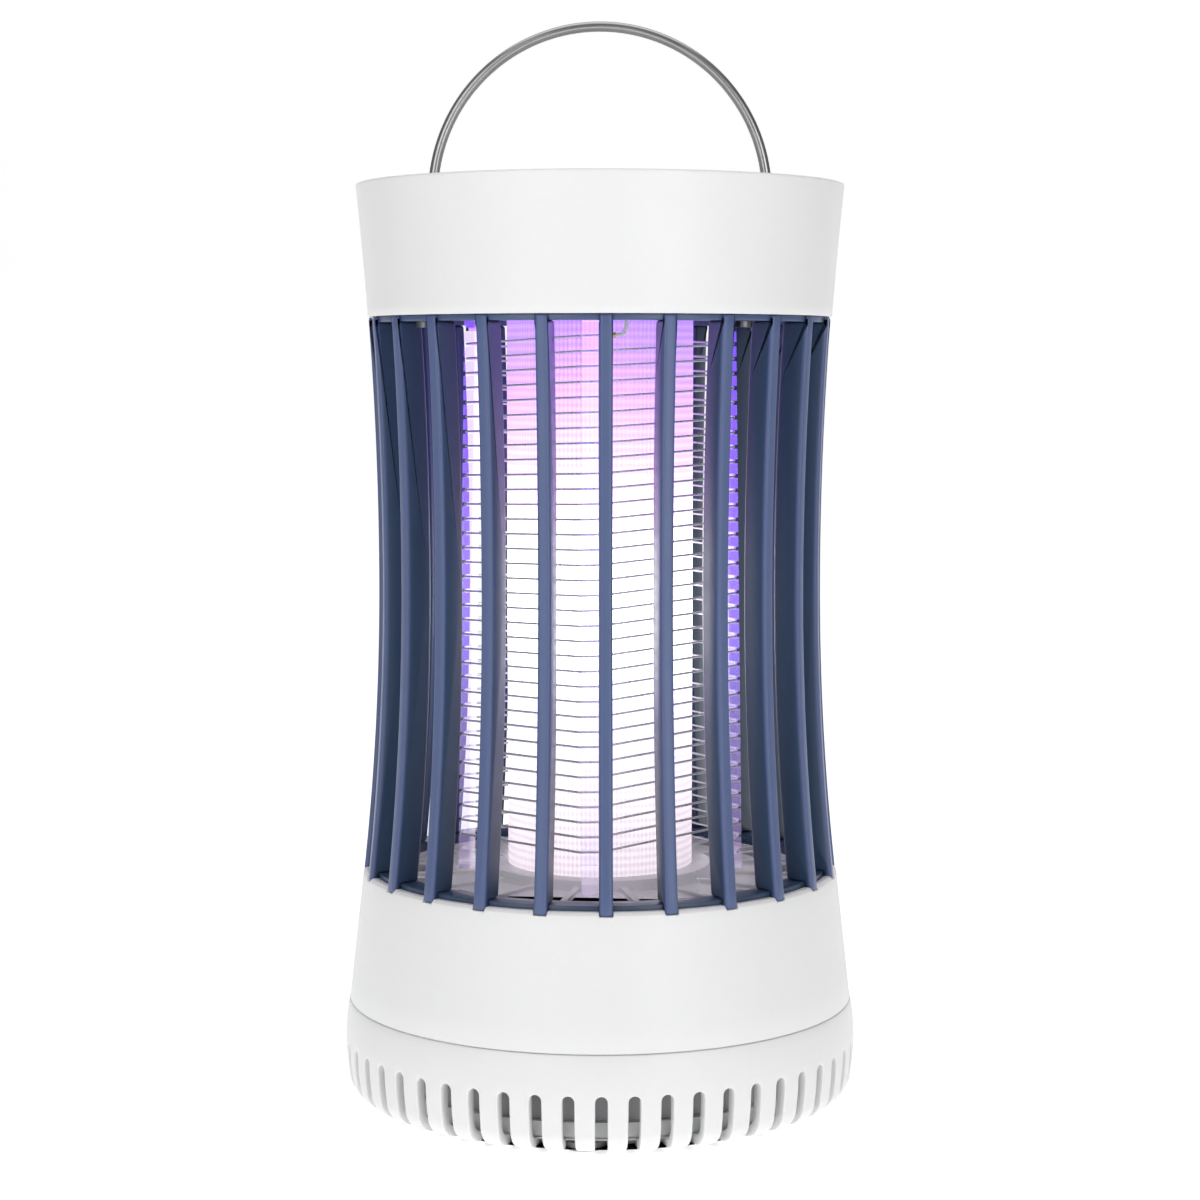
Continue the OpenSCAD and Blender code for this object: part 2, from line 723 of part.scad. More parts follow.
// plate that closes the head from below
module head_floor() color("gainsboro") {
    difference() {
        union() {
            translate([0, 0, head_floor_z]) cylinder(r = top_neck_r, h = head_floor_t);
            standoffs() cylinder(r = 2.2, h = board_up + eps);
        }
        around(4, fastener_turn) translate([column_ring_r, 0, head_floor_z - 1])
            cylinder(r = screw_d / 2 + 0.1, h = head_floor_t + 2);
        around(4, post_turn) translate([cage_top_r - post_depth / 2, 0, head_floor_z - 1])
            cylinder(r = tenon_r + touch, h = tenon_l + 1.1);
        translate([0, 0, head_floor_z - 1]) cylinder(r = core_lead_r, h = head_floor_t + 2);
        for (winding = [live, return]) {
            p = grid_lead_route(winding)[2];
            translate([p.x, p.y, head_floor_z - 1]) cylinder(r = grid_hole_r, h = head_floor_t + 2);
        }
        standoffs() translate([0, 0, -0.6]) cylinder(r = screw_d / 2 - 0.2, h = board_up + 2);
    }
}
// places of the board's four screws, on the head's floor
module standoffs() {
    for (x = [-1, 1], y = [-board_front + 3, board_back - 10])
        translate([x * (board_w / 2 - 3), y, head_in_z - eps]) children();
}

// section of the head's shell: curved side, rounded rim, seat for the deck
module head_section() {
    polygon(concat(
        [for (z = steps(head_z, rim_z - rim_round, 10)) [side_r(z), z]],
        [for (a = steps(22.5, 90, 3))
            [rim_r - rim_round + rim_round * cos(a), rim_z - rim_round + rim_round * sin(a)]],
        [for (a = steps(90, 180, 4))
            [deck_r + touch + lip_round + lip_round * cos(a), rim_z - lip_round + lip_round * sin(a)]],
        [
            [deck_r + touch, deck_z], [deck_r - seat_w, deck_z], [deck_r - seat_w, deck_z - seat_edge],
            [side_r(deck_z - 5) - wall, deck_z - 5]
        ],
        [for (z = steps(deck_z - 7, head_z, 4)) [side_r(z) - wall, z]]
    ));
}

// stadium-shaped opening, standing in the XZ plane and running along Y
module stadium_y(w, h, y0, y1) {
    translate([0, y1, 0]) rotate([90, 0, 0]) linear_extrude(y1 - y0) union() {
        translate([-(w - h) / 2, -h / 2]) square([w - h, h]);
        for (x = [-1, 1]) translate([x * (w - h) / 2, 0]) circle(r = h / 2);
    }
}

module head_shell() color("white") {
    difference() {
        union() {
            rotate_extrude() head_section();
            around(4, fastener_turn) translate([column_ring_r, 0, head_in_z + touch])
                cylinder(r = column_r, h = deck_z - head_in_z - touch);
        }
        around(4, fastener_turn) {
            translate([column_ring_r, 0, deck_z - head_screw_l])
                cylinder(r = screw_d / 2, h = head_screw_l + 1);
            translate([column_ring_r, 0, head_in_z - 1]) cylinder(r = screw_d / 2, h = head_screw_l + 1);
        }
        translate([0, 0, socket_mid_z])
            stadium_y(socket_w + 1.4, socket_h + 1, socket_mouth_y - 3, rim_r + 5);
        translate([-flap_w / 2 - flap_fit, flap_y - touch, flap_z - 0.4])
            cube([flap_w + 2 * flap_fit, 10, flap_h + 0.4 + hinge_room]);
        translate([0, flap_hinge_y, flap_hinge_z])
            rod_x(bead_r + bead_fit, -flap_w / 2 - flap_fit, flap_w / 2 + flap_fit);
    }
}

// recessed deck with the handle's two lugs, the button's raised collar and the light's hole
module lug() {
    difference() {
        union() {
            rod_x(lug_r, lug_in_x, lug_in_x + lug_t);
            translate([lug_in_x, -lug_r, -pivot_up - lug_root])
                cube([lug_t, 2 * lug_r, pivot_up + lug_root]);
        }
        rod_x(handle_wire_r + pin_fit, lug_in_x - 1, lug_in_x + lug_t + 1);
    }
}

module top_deck() color("white") {
    difference() {
        union() {
            translate([0, 0, deck_z]) cylinder(r = deck_r, h = deck_t);
            translate([0, 0, deck_top_z - eps]) ring(button_d / 2 + 2, button_d / 2 + button_fit, 0.7);
            for (m = [0, 1]) mirror([m, 0, 0]) translate([0, 0, pivot_z]) lug();
        }
        translate([0, 0, deck_z - 1]) cylinder(r = button_d / 2 + button_fit, h = deck_t + 4);
        translate([0, -lens_out, deck_z - 1]) cylinder(r = lens_d / 2 + touch, h = deck_t + 2);
        around(4, fastener_turn) translate([column_ring_r, 0, deck_z - 1]) {
            cylinder(r = screw_d / 2 + 0.1, h = deck_t + 2);
            translate([0, 0, 1 + deck_t - screw_head_h - 0.2]) cylinder(r = screw_head_d / 2 + 0.15, h = 3);
        }
    }
}

module deck_screws() color("silver") {
    around(4, fastener_turn) translate([column_ring_r, 0, deck_top_z - screw_head_h - 0.2 + touch])
        screw_down(head_screw_l - 1);
}

// bent wire handle: half a ring, two short bends and two pins
module carry_handle() color("silver") {
    translate([0, 0, bow_z]) rotate([90, 0, 0]) rotate_extrude(angle = 180)
        translate([handle_r, 0]) circle(r = handle_wire_r);
    for (m = [0, 1]) mirror([m, 0, 0]) {
        translate([handle_r + handle_bend, 0, bow_z]) rotate([90, 0, 0]) rotate([0, 0, 180])
            rotate_extrude(angle = 90) translate([handle_bend, 0]) circle(r = handle_wire_r);
        translate([0, 0, pivot_z]) rod_x(handle_wire_r, handle_r + handle_bend - eps, pin_end_x);
    }
}

module power_button() color("lightgray") {
    side_h = deck_top_z + button_up - flange_z - button_chamfer;
    translate([0, 0, flange_z]) cylinder(r = button_d / 2, h = side_h);
    translate([0, 0, flange_z + side_h - eps])
        cylinder(r1 = button_d / 2, r2 = button_d / 2 - button_chamfer, h = button_chamfer);
    translate([0, 0, flange_z]) cylinder(r = button_d / 2 + flange_w, h = flange_t);
    translate([0, 0, stem_z]) cylinder(r = stem_r, h = flange_z - stem_z + eps);
}

module button_switch() color("black") {
    translate([-switch_side / 2, -switch_side / 2, board_top_z + touch])
        cube([switch_side, switch_side, switch_h - touch]);
    translate([0, 0, board_top_z + switch_h - eps])
        cylinder(r = switch_pin_r, h = switch_pin_z - board_top_z - switch_h);
}

module status_lens() color("honeydew") {
    translate([0, -lens_out, deck_z - 1.5]) cylinder(r = lens_d / 2, h = deck_t + 1.8);
    translate([0, -lens_out, deck_z - 1.5]) cylinder(r = lens_d / 2 + 0.8, h = 1.4);
}

module status_lamp() color("palegreen") {
    translate([0, -lens_out, board_top_z + touch]) cylinder(r = 1.5, h = 4);
    translate([0, -lens_out, board_top_z + touch + 4]) intersection() {
        sphere(r = 1.5);
        cylinder(r = 2, h = 2);
    }
}

module main_board() color("seagreen") {
    difference() {
        translate([-board_w / 2, -board_front, board_z + touch])
            cube([board_w, board_front + board_back, board_t - touch]);
        standoffs() cylinder(r = screw_d / 2 + 0.1, h = board_up + board_t + 2);
    }
}

module board_screws() color("silver") {
    standoffs() translate([0, 0, board_up + board_t + touch]) {
        translate([0, 0, -board_t - board_up])
            cylinder(r = screw_d / 2 - 0.25, h = board_t + board_up + eps);
        cylinder(r = screw_head_d / 2 - 0.2, h = screw_head_h);
    }
}

// step-up transformer: a ferrite frame round a wound bobbin
module transformer_core() color("dimgray") {
    difference() {
        block(tx_x, tx_y, board_top_z + touch, tx_w, tx_d * 0.45, tx_h);
        for (s = [-1, 1]) block(tx_x + s * tx_w * 0.22, tx_y, board_top_z + 2, tx_w * 0.2, tx_d, tx_h - 4);
    }
}
module transformer_coil() color("peru") {
    for (s = [-1, 1]) difference() {
        block(tx_x + s * tx_w * 0.22, tx_y, board_top_z + 2.1, tx_w * 0.16, tx_d, tx_h - 4.2);
        block(tx_x + s * tx_w * 0.22, tx_y - tx_d / 2, board_top_z + 1.8, tx_w, 0.6, 0.8);
    }
}

module hv_capacitors() color("royalblue") {
    for (i = [0 : 2]) translate([7, -26 + i * cap_pitch, board_top_z + cap_r + touch]) rotate([90, 0, 0])
        cylinder(r = cap_r, h = cap_t);
}

module hv_diodes() color("black") {
    for (i = [0 : 3]) translate([-12 + i * diode_pitch, -9, board_top_z + diode_r + 2 * touch])
        rotate([90, 0, 0])
        cylinder(r = diode_r, h = diode_l);
}

module driver_chips() color("black") {
    block(-8, 12, board_top_z + touch, 6, 5, 1.5);
    block(7, 14, board_top_z + touch, 5, 5, 1.2);
    block(6, 25, board_top_z + touch, 4, 4, 2.8);
}

module battery_plug() color("ivory") {
    difference() {
        block(plug_x, plug_y, board_top_z + touch, plug_w, plug_l, plug_h);
        block(plug_x, plug_y, board_top_z + 2.5, plug_w - 2.8, plug_l - 2, plug_h);
    }
}

// charging socket at the back edge of the board
module usb_socket() color("silver") {
    difference() {
        translate([0, 0, socket_mid_z + touch])
            stadium_y(socket_w, socket_h, socket_mouth_y - socket_l, socket_mouth_y);
        translate([0, 0, socket_mid_z + touch])
            stadium_y(
                socket_w - 2 * socket_shell, socket_h - 2 * socket_shell,
                socket_mouth_y - socket_l + 1, socket_mouth_y + 1
            );
    }
    block(
        0, socket_mouth_y - socket_l / 2 + 0.2, socket_mid_z + touch - tongue_t / 2,
        socket_w - 2.6, socket_l - 1.6, tongue_t
    );
}

// soft cover over the socket: it turns on the bead along its top edge
module usb_cover() color("whitesmoke") {
    intersection() {
        union() {
            translate([-flap_w / 2, flap_y, flap_z]) cube([flap_w, flap_t + 1, flap_h]);
            translate([-flap_w / 2 + 1, flap_y, flap_z + flap_h - eps]) cube([flap_w - 2, 0.6, 0.4]);
        }
        rotate_extrude($fn = 240) polygon(concat(
            [[0, head_z]], [for (z = steps(head_z, rim_z, 10)) [side_r(z) - 0.05, z]], [[0, rim_z]]
        ));
    }
    translate([0, flap_hinge_y, flap_hinge_z]) rod_x(bead_r, -flap_w / 2 + 1, flap_w / 2 - 1);
    translate([0, 0, socket_mid_z]) stadium_y(socket_w - 2.4, socket_h - 1.6, flap_y - 1.2, flap_y + eps);
}

// two cells, one each side of the board
module each_cell() {
    for (s = [-1, 1]) translate([s * cell_x, 0, cell_z]) children();
}
module cell_can() {
    rotate([90, 0, 0]) cylinder(r = cell_d / 2, h = cell_l - 1.2, center = true);
}
module battery_cells() color("mediumseagreen") {
    each_cell() {
        cell_can();
        translate([0, cell_l / 2 - 0.2, 0]) rotate([90, 0, 0])
            cylinder(r = cell_nub_r, h = 1, center = true);
    }
}

module cell_cradles() color("whitesmoke") {
    for (s = [-1, 1]) difference() {
        block(s * cell_x, 0, head_in_z + touch, cell_d + 2 * cradle_wall, cell_l - cradle_short, cradle_h);
        translate([s * cell_x, 0, cell_z]) rotate([90, 0, 0])
            cylinder(r = cell_d / 2 + touch, h = cell_l + 20, center = true);
        block(s * cell_x, 0, head_in_z - 1, cell_d + 4, cell_l - cradle_gap, cradle_h + 3);
    }
}

module cell_tabs() color("gainsboro") {
    each_cell() {
        translate([-tab_w / 2, cell_l / 2 + 0.35, -tab_h / 2]) cube([tab_w, tab_t, tab_h]);
        translate([-tab_w / 2, -cell_l / 2 + 0.2, -tab_h / 2]) cube([tab_w, tab_t, tab_h]);
    }
}

// leads from the tabs to the plug on the board
module battery_leads() color("crimson") {
    for (s = [-1, 1]) lead([
        [s * cell_x, cell_l / 2 + 1.3, cell_z + 3.4], [s * (cell_x - 4), cell_l / 2 + 2, cell_z + 6.4],
        [s * 12, 18, deck_z - 1.6], [plug_x + s * 1, plug_y + 6, deck_z - 2.4],
        [plug_x + s * 0.5, plug_y + 1, board_top_z + 7], [plug_x + s * 0.5, plug_y, board_top_z + 2.8]
    ], battery_lead_r);
}

foot_pads();
base_tray();
collection_cup();
base_skirt();
skirt_screws();
floor_plate();
guard_lower_ring();
guard_fins();
guard_upper_ring();
guard_screws();
grid_posts();
live_wire();
return_wire();
grid_terminals();
grid_leads();
lamp_tube();
lamp_core();
lamp_boards();
uv_lamps();
lamp_leads();
head_floor();
head_shell();
top_deck();
deck_screws();
carry_handle();
power_button();
button_switch();
status_lens();
status_lamp();
main_board();
board_screws();
transformer_core();
transformer_coil();
hv_capacitors();
hv_diodes();
driver_chips();
battery_plug();
usb_socket();
usb_cover();
battery_cells();
cell_cradles();
cell_tabs();
battery_leads();
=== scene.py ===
"""Looks of a lantern-style electric bug zapper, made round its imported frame.

Pieces are modelled in millimetres, in the frame's own axes, and turned into metres when they
are finished. Heights and radii come from the frame's nodes and from the few sizes below.
"""
import json
import math

import bpy
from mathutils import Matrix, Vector

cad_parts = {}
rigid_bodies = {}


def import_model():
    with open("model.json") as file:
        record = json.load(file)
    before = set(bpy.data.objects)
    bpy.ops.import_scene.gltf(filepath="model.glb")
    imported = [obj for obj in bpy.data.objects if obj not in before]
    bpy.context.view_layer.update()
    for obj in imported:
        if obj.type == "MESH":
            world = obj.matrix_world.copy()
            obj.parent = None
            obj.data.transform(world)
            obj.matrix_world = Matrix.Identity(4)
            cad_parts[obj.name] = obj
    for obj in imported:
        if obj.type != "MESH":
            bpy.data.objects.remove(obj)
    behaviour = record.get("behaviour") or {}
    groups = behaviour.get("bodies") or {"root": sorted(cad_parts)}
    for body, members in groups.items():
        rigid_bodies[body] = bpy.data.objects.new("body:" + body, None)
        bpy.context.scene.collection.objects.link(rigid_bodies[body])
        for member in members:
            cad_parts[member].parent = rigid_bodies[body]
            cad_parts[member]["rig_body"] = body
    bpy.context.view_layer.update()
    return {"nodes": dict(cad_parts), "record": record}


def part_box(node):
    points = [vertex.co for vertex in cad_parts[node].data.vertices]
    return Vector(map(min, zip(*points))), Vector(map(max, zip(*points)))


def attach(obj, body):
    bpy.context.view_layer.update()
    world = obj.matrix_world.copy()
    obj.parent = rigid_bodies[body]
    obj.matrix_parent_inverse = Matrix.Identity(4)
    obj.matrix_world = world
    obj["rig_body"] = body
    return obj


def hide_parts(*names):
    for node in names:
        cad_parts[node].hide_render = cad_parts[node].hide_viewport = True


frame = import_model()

MM = 0.001
TURN_STEPS = 180          # flats round a turned piece


def box_mm(node):
    low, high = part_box(node)
    return low / MM, high / MM


# sizes of the frame, in millimetres
WALL = 2.0
WAIST_R = 47.3
WAIST_Z = 113.0
TRAY_BELLY = 45.0
BELLY_UP = 11.65
TRAY_EDGE = 5.0
SLOTS = 52
SLOT_W = 2.5
SLOT_TOP = 12.3
SLOT_TURN = math.radians(-89.7)
FINS = 24
FIN_TURN = math.radians(1.4)
FIN_T = 2.7
FIN_DEPTH = 5.8
FIN_INSET = 0.1
LOBE_DROP = 0.85
POST_TURN = math.radians(-4)
WIRE_LEAD = 6.2
WIRE_R = 0.25
WIRE_CLIMB = 0.06         # rise of a wire from the middle of a post to its side
WIRE_END = 0.4            # how far a straight run starts past a post
NOTCH_DEPTH = 1.0
POST_W = 3.4
CAGE_FOOT_R = 30.6        # outer edges of the posts, from the axis
CAGE_TOP_R = 28.8
HANDLE_BEND = 1.6
TUBE_WALL = 1.0
FLUTES = 132
FLUTE_DEPTH = 0.28
SLACK = 0.05              # gap between pieces that are clipped together

head_low, head_high = box_mm("head_shell")
skirt_low, skirt_high = box_mm("base_skirt")
tray_low, tray_high = box_mm("base_tray")
cup_low, cup_high = box_mm("collection_cup")
lower_low, lower_high = box_mm("guard_lower_ring")
upper_low, upper_high = box_mm("guard_upper_ring")
deck_low, deck_high = box_mm("top_deck")
post_high = box_mm("grid_posts")[1]
tube_low, tube_high = box_mm("lamp_tube")
handle_low, handle_high = box_mm("carry_handle")
button_low, button_high = box_mm("power_button")
live_low, live_high = box_mm("live_wire")
return_low, return_high = box_mm("return_wire")

RIM_R = head_high.x
BASE_R = tray_high.x
SEAM_R = skirt_high.x
SKIRT_TOP = skirt_high.z
HEAD_Z = head_low.z
RIM_Z = head_high.z
SKIRT_SLOPE = 2 * (SEAM_R - WAIST_R) / (2 * (SKIRT_TOP - skirt_low.z) + WAIST_Z - SKIRT_TOP)
SKIRT_TOP_R = SEAM_R - SKIRT_SLOPE * (SKIRT_TOP - skirt_low.z)
WIRE_START = live_low.z + WIRE_R - POST_TURN * WIRE_LEAD / math.tau


# ---------------------------------------------------------------- side view of the lantern

def side_r(z):
    """Radius of the lantern's side: a cone, then a hollow curve past the waist to the rim."""
    if z > WAIST_Z:
        return WAIST_R + (RIM_R - WAIST_R) * ((z - WAIST_Z) / (RIM_Z - WAIST_Z)) ** 2
    if z > SKIRT_TOP:
        return WAIST_R + (SKIRT_TOP_R - WAIST_R) * ((WAIST_Z - z) / (WAIST_Z - SKIRT_TOP)) ** 2
    return SKIRT_TOP_R + (SKIRT_TOP - z) * SKIRT_SLOPE


def tray_r(z):
    return BASE_R - (z - tray_low.z - BELLY_UP) ** 2 / (2 * TRAY_BELLY)


def steps(a, b, n):
    return [a + (b - a) * i / n for i in range(n + 1)]


def arc(r, z, radius, start, end, n):
    """Points of an arc about (r, z), from one angle to the other, in degrees."""
    turn = [math.radians(a) for a in steps(start, end, n)]
    return [(r + radius * math.cos(a), z + radius * math.sin(a)) for a in turn]


# ---------------------------------------------------------------- ways of working

def activate(piece):
    bpy.ops.object.select_all(action="DESELECT")
    piece.select_set(True)
    bpy.context.view_layer.objects.active = piece


def edit(piece, mode="VERT"):
    activate(piece)
    bpy.ops.object.mode_set(mode="EDIT")
    bpy.ops.mesh.select_mode(type=mode)
    bpy.ops.mesh.select_all(action="DESELECT")
    bpy.ops.object.mode_set(mode="OBJECT")


def pick(piece, test, mode="VERT"):
    """Enters edit mode with only those parts selected whose middle passes a test."""
    edit(piece, mode)
    mesh = piece.data
    parts = {"VERT": mesh.vertices, "EDGE": mesh.edges, "FACE": mesh.polygons}[mode]
    for part in parts:
        if mode == "VERT":
            middle = part.co
        elif mode == "FACE":
            middle = part.center
        else:
            middle = (mesh.vertices[part.vertices[0]].co + mesh.vertices[part.vertices[1]].co) / 2
        part.select = bool(test(middle))
    bpy.ops.object.mode_set(mode="EDIT")


def leave():
    bpy.ops.object.mode_set(mode="OBJECT")


def chain(name, points, closed=False):
    """A chain of vertices drawn point by point, as a new object."""
    bpy.ops.object.select_all(action="DESELECT")
    bpy.ops.mesh.primitive_plane_add(size=1, location=(0, 0, 0))
    piece = bpy.context.object
    piece.name = name
    bpy.ops.object.mode_set(mode="EDIT")
    bpy.ops.mesh.select_mode(type="VERT")
    bpy.ops.mesh.select_all(action="SELECT")
    bpy.ops.mesh.merge(type="CENTER")
    places = [Vector(p) for p in points]
    bpy.ops.transform.translate(value=places[0])
    for here, there in zip(places, places[1:]):
        bpy.ops.mesh.extrude_region_move(TRANSFORM_OT_translate={"value": there - here})
    leave()
    if closed:
        ends = (places[0], places[-1])
        pick(piece, lambda p: min((p - e).length for e in ends) < 1e-4)
        bpy.ops.mesh.edge_face_add()
        leave()
    return piece


def tidy_mesh(piece):
    """Merges doubles and turns every face outwards."""
    pick(piece, lambda p: True)
    bpy.ops.mesh.remove_doubles(threshold=0.001)
    bpy.ops.mesh.normals_make_consistent(inside=False)
    leave()


def turned(name, outline, flats=TURN_STEPS):
    """A piece turned about the axis from an outline of (radius, height) points."""
    solid = outline[0][0] == 0 and outline[-1][0] == 0
    piece = chain(name, [(r, 0, z) for r, z in outline], closed=not solid)
    pick(piece, lambda p: True)
    bpy.ops.mesh.spin(steps=flats, angle=math.tau, center=(0, 0, 0), axis=(0, 0, 1))
    leave()
    tidy_mesh(piece)
    return piece


def plate(name, outline, thickness):
    """A flat piece in the XZ plane with its middle on Y = 0."""
    piece = chain(name, [(x, -thickness / 2, z) for x, z in outline])
    pick(piece, lambda p: True)
    bpy.ops.mesh.edge_face_add()
    bpy.ops.mesh.extrude_region_move(TRANSFORM_OT_translate={"value": (0, thickness, 0)})
    leave()
    tidy_mesh(piece)
    return piece


def turn_about_axis(piece, angle):
    piece.rotation_euler.z = angle
    activate(piece)
    bpy.ops.object.transform_apply(location=True, rotation=True, scale=True)


def spread_round(piece, count, start):
    """Turns a piece to its first place and copies it round the axis."""
    turn_about_axis(piece, start)
    pick(piece, lambda p: True)
    rest = math.tau * (count - 1) / count
    bpy.ops.mesh.spin(steps=count - 1, dupli=True, angle=rest, center=(0, 0, 0), axis=(0, 0, 1))
    leave()
    return piece


def cut(piece, tool):
    activate(piece)
    change = piece.modifiers.new("cut", "BOOLEAN")
    change.operation = "DIFFERENCE"
    change.solver = "EXACT"
    change.object = tool
    bpy.ops.object.modifier_apply(modifier=change.name)
    bpy.data.objects.remove(tool)


def round_edges(piece, width, segments=3, angle=35):
    activate(piece)
    change = piece.modifiers.new("round edges", "BEVEL")
    change.width = width
    change.segments = segments
    change.limit_method = "ANGLE"
    change.angle_limit = math.radians(angle)
    change.use_clamp_overlap = False
    bpy.ops.object.modifier_apply(modifier=change.name)


def join(first, *others):
    activate(first)
    for other in others:
        other.select_set(True)
    bpy.ops.object.join()
    return first


def block(name, low, high):
    bpy.ops.object.select_all(action="DESELECT")
    low, high = Vector(low), Vector(high)
    bpy.ops.mesh.primitive_cube_add(size=1, location=(0, 0, 0))
    piece = bpy.context.object
    piece.name = name
    piece.scale = high - low
    piece.location = (low + high) / 2
    bpy.ops.object.transform_apply(location=True, rotation=True, scale=True)
    return piece


def softened(name, node, width, segments=2):
    """A copy of a frame node with its edges rounded, to stand in its place."""
    piece = bpy.data.objects.new(name, frame["nodes"][node].data.copy())
    bpy.context.scene.collection.objects.link(piece)
    piece.scale = (1 / MM,) * 3
    activate(piece)
    bpy.ops.object.transform_apply(location=True, rotation=True, scale=True)
    pick(piece, lambda p: True)
    bpy.ops.mesh.remove_doubles(threshold=0.002)
    bpy.ops.mesh.dissolve_limited(angle_limit=math.radians(1))
    leave()
    if width:
        round_edges(piece, width, segments)
    return piece


def finished(piece, body, material, slot, *nodes, smooth=32):
    """Brings a piece to metres, shades and paints it, and sets it in the frame."""
    activate(piece)
    piece.scale = (MM,) * 3
    bpy.ops.object.transform_apply(location=True, rotation=True, scale=True)
    bpy.ops.object.shade_smooth_by_angle(angle=math.radians(smooth))
    piece.data.materials.clear()
    piece.data.materials.append(material)
    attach(piece, body)
    if nodes:
        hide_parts(*nodes)
    return piece


# ---------------------------------------------------------------- camera

def add_camera():
    """Eye level with the lower half of the lantern, a little above, from the front."""
    data = bpy.data.cameras.new("camera")
    data.sensor_width = 36
    data.lens = 78.8
    camera = bpy.data.objects.new("camera", data)
    bpy.context.scene.collection.objects.link(camera)
    camera.location = (0, -0.5611, 0.1572)
    aim = Vector((0, 0, 0.1064))
    camera.rotation_euler = (aim - camera.location).to_track_quat("-Z", "Y").to_euler()
    bpy.context.scene.camera = camera


# ---------------------------------------------------------------- materials

class Finish:
    """A material under construction, with its nodes at hand."""

    def __init__(self, name, roughness, metallic=0.0):
        self.material = bpy.data.materials.new(name)
        self.material.use_nodes = True
        self.nodes = self.material.node_tree.nodes
        self.links = self.material.node_tree.links
        self.shader = self.nodes["Principled BSDF"]
        self.shader.inputs["Roughness"].default_value = roughness
        self.shader.inputs["Metallic"].default_value = metallic
        self.place = self.nodes.new("ShaderNodeTexCoord").outputs["Object"]

    def add(self, kind, **values):
        node = self.nodes.new("ShaderNode" + kind)
        for name, value in values.items():
            setattr(node, name, value)
        return node

    def link(self, source, target):
        self.links.new(source, target)

    def stretched(self, scale):
        node = self.add("Mapping")
        node.inputs["Scale"].default_value = scale
        self.link(self.place, node.inputs["Vector"])
        return node.outputs["Vector"]

    def noise(self, scale, detail=3.0, stretch=(1, 1, 1)):
        node = self.add("TexNoise")
        node.inputs["Scale"].default_value = scale
        node.inputs["Detail"].default_value = detail
        self.link(self.stretched(stretch), node.inputs["Vector"])
        return node.outputs["Fac"]

    def ranged(self, value, low, high, start=0.3, end=0.7):
        node = self.add("MapRange")
        for name, amount in (("From Min", start), ("From Max", end), ("To Min", low), ("To Max", high)):
            node.inputs[name].default_value = amount
        self.link(value, node.inputs["Value"])
        return node.outputs["Result"]

    def sums(self, operation, *values):
        node = self.add("Math", operation=operation)
        for socket, value in zip(node.inputs, values):
            if isinstance(value, (int, float)):
                socket.default_value = value
            else:
                self.link(value, socket)
        return node.outputs["Value"]

    def ramp(self, value, stops):
        node = self.add("ValToRGB")
        band = node.color_ramp
        while len(band.elements) < len(stops):
            band.elements.new(0.5)
        for element, (place, colour) in zip(band.elements, stops):
            element.position = place
            element.color = (*colour, 1)
        self.link(value, node.inputs["Fac"])
        return node.outputs["Color"]

    def colour(self, value, low, high):
        """Colour that wanders between two close shades."""
        self.link(self.ramp(value, [(0.3, low), (0.7, high)]), self.shader.inputs["Base Color"])

    def wear(self, value, low, high):
        self.link(self.ranged(value, low, high), self.shader.inputs["Roughness"])

    def grain(self, value, depth, strength=0.3):
        node = self.add("Bump")
        node.inputs["Strength"].default_value = strength
        node.inputs["Distance"].default_value = depth
        self.link(value, node.inputs["Height"])
        self.link(node.outputs["Normal"], self.shader.inputs["Normal"])

    def height_mm(self):
        parts = self.add("SeparateXYZ")
        self.link(self.place, parts.inputs["Vector"])
        return self.sums("MULTIPLY", parts.outputs["Z"], 1 / MM), parts

    def reach_mm(self, parts):
        """Distance from the axis."""
        squares = [self.sums("POWER", parts.outputs[name], 2) for name in ("X", "Y")]
        return self.sums("MULTIPLY", self.sums("SQRT", self.sums("ADD", *squares)), 1 / MM)


def shade(colour, factor):
    return tuple(min(1.0, c * factor) for c in colour)


def moulded(name, colour, roughness, grain_size=2600, depth=0.00002, spread=0.03, soft=0.0):
    """Moulded plastic: a spark-eroded grain, slight cloudiness and uneven gloss."""
    finish = Finish(name, roughness)
    cloud = finish.noise(38, 2)
    finish.colour(cloud, shade(colour, 1 - spread), shade(colour, 1 + spread))
    finish.wear(finish.noise(160, 3), roughness * 0.88, roughness * 1.14)
    finish.grain(finish.noise(grain_size, 2), depth)
    if soft:
        finish.shader.inputs["Subsurface Weight"].default_value = soft
        finish.shader.inputs["Subsurface Scale"].default_value = 0.002
    return finish


def drawn_metal(name, colour, roughness, stretch, scale=900, depth=0.000015):
    """Metal with fine lines along the way it was drawn or milled."""
    finish = Finish(name, roughness, 1.0)
    lines = finish.noise(scale, 4, stretch)
    finish.colour(lines, shade(colour, 0.86), shade(colour, 1.1))
    finish.wear(lines, roughness * 0.75, roughness * 1.35)
    finish.grain(lines, depth)
    return finish


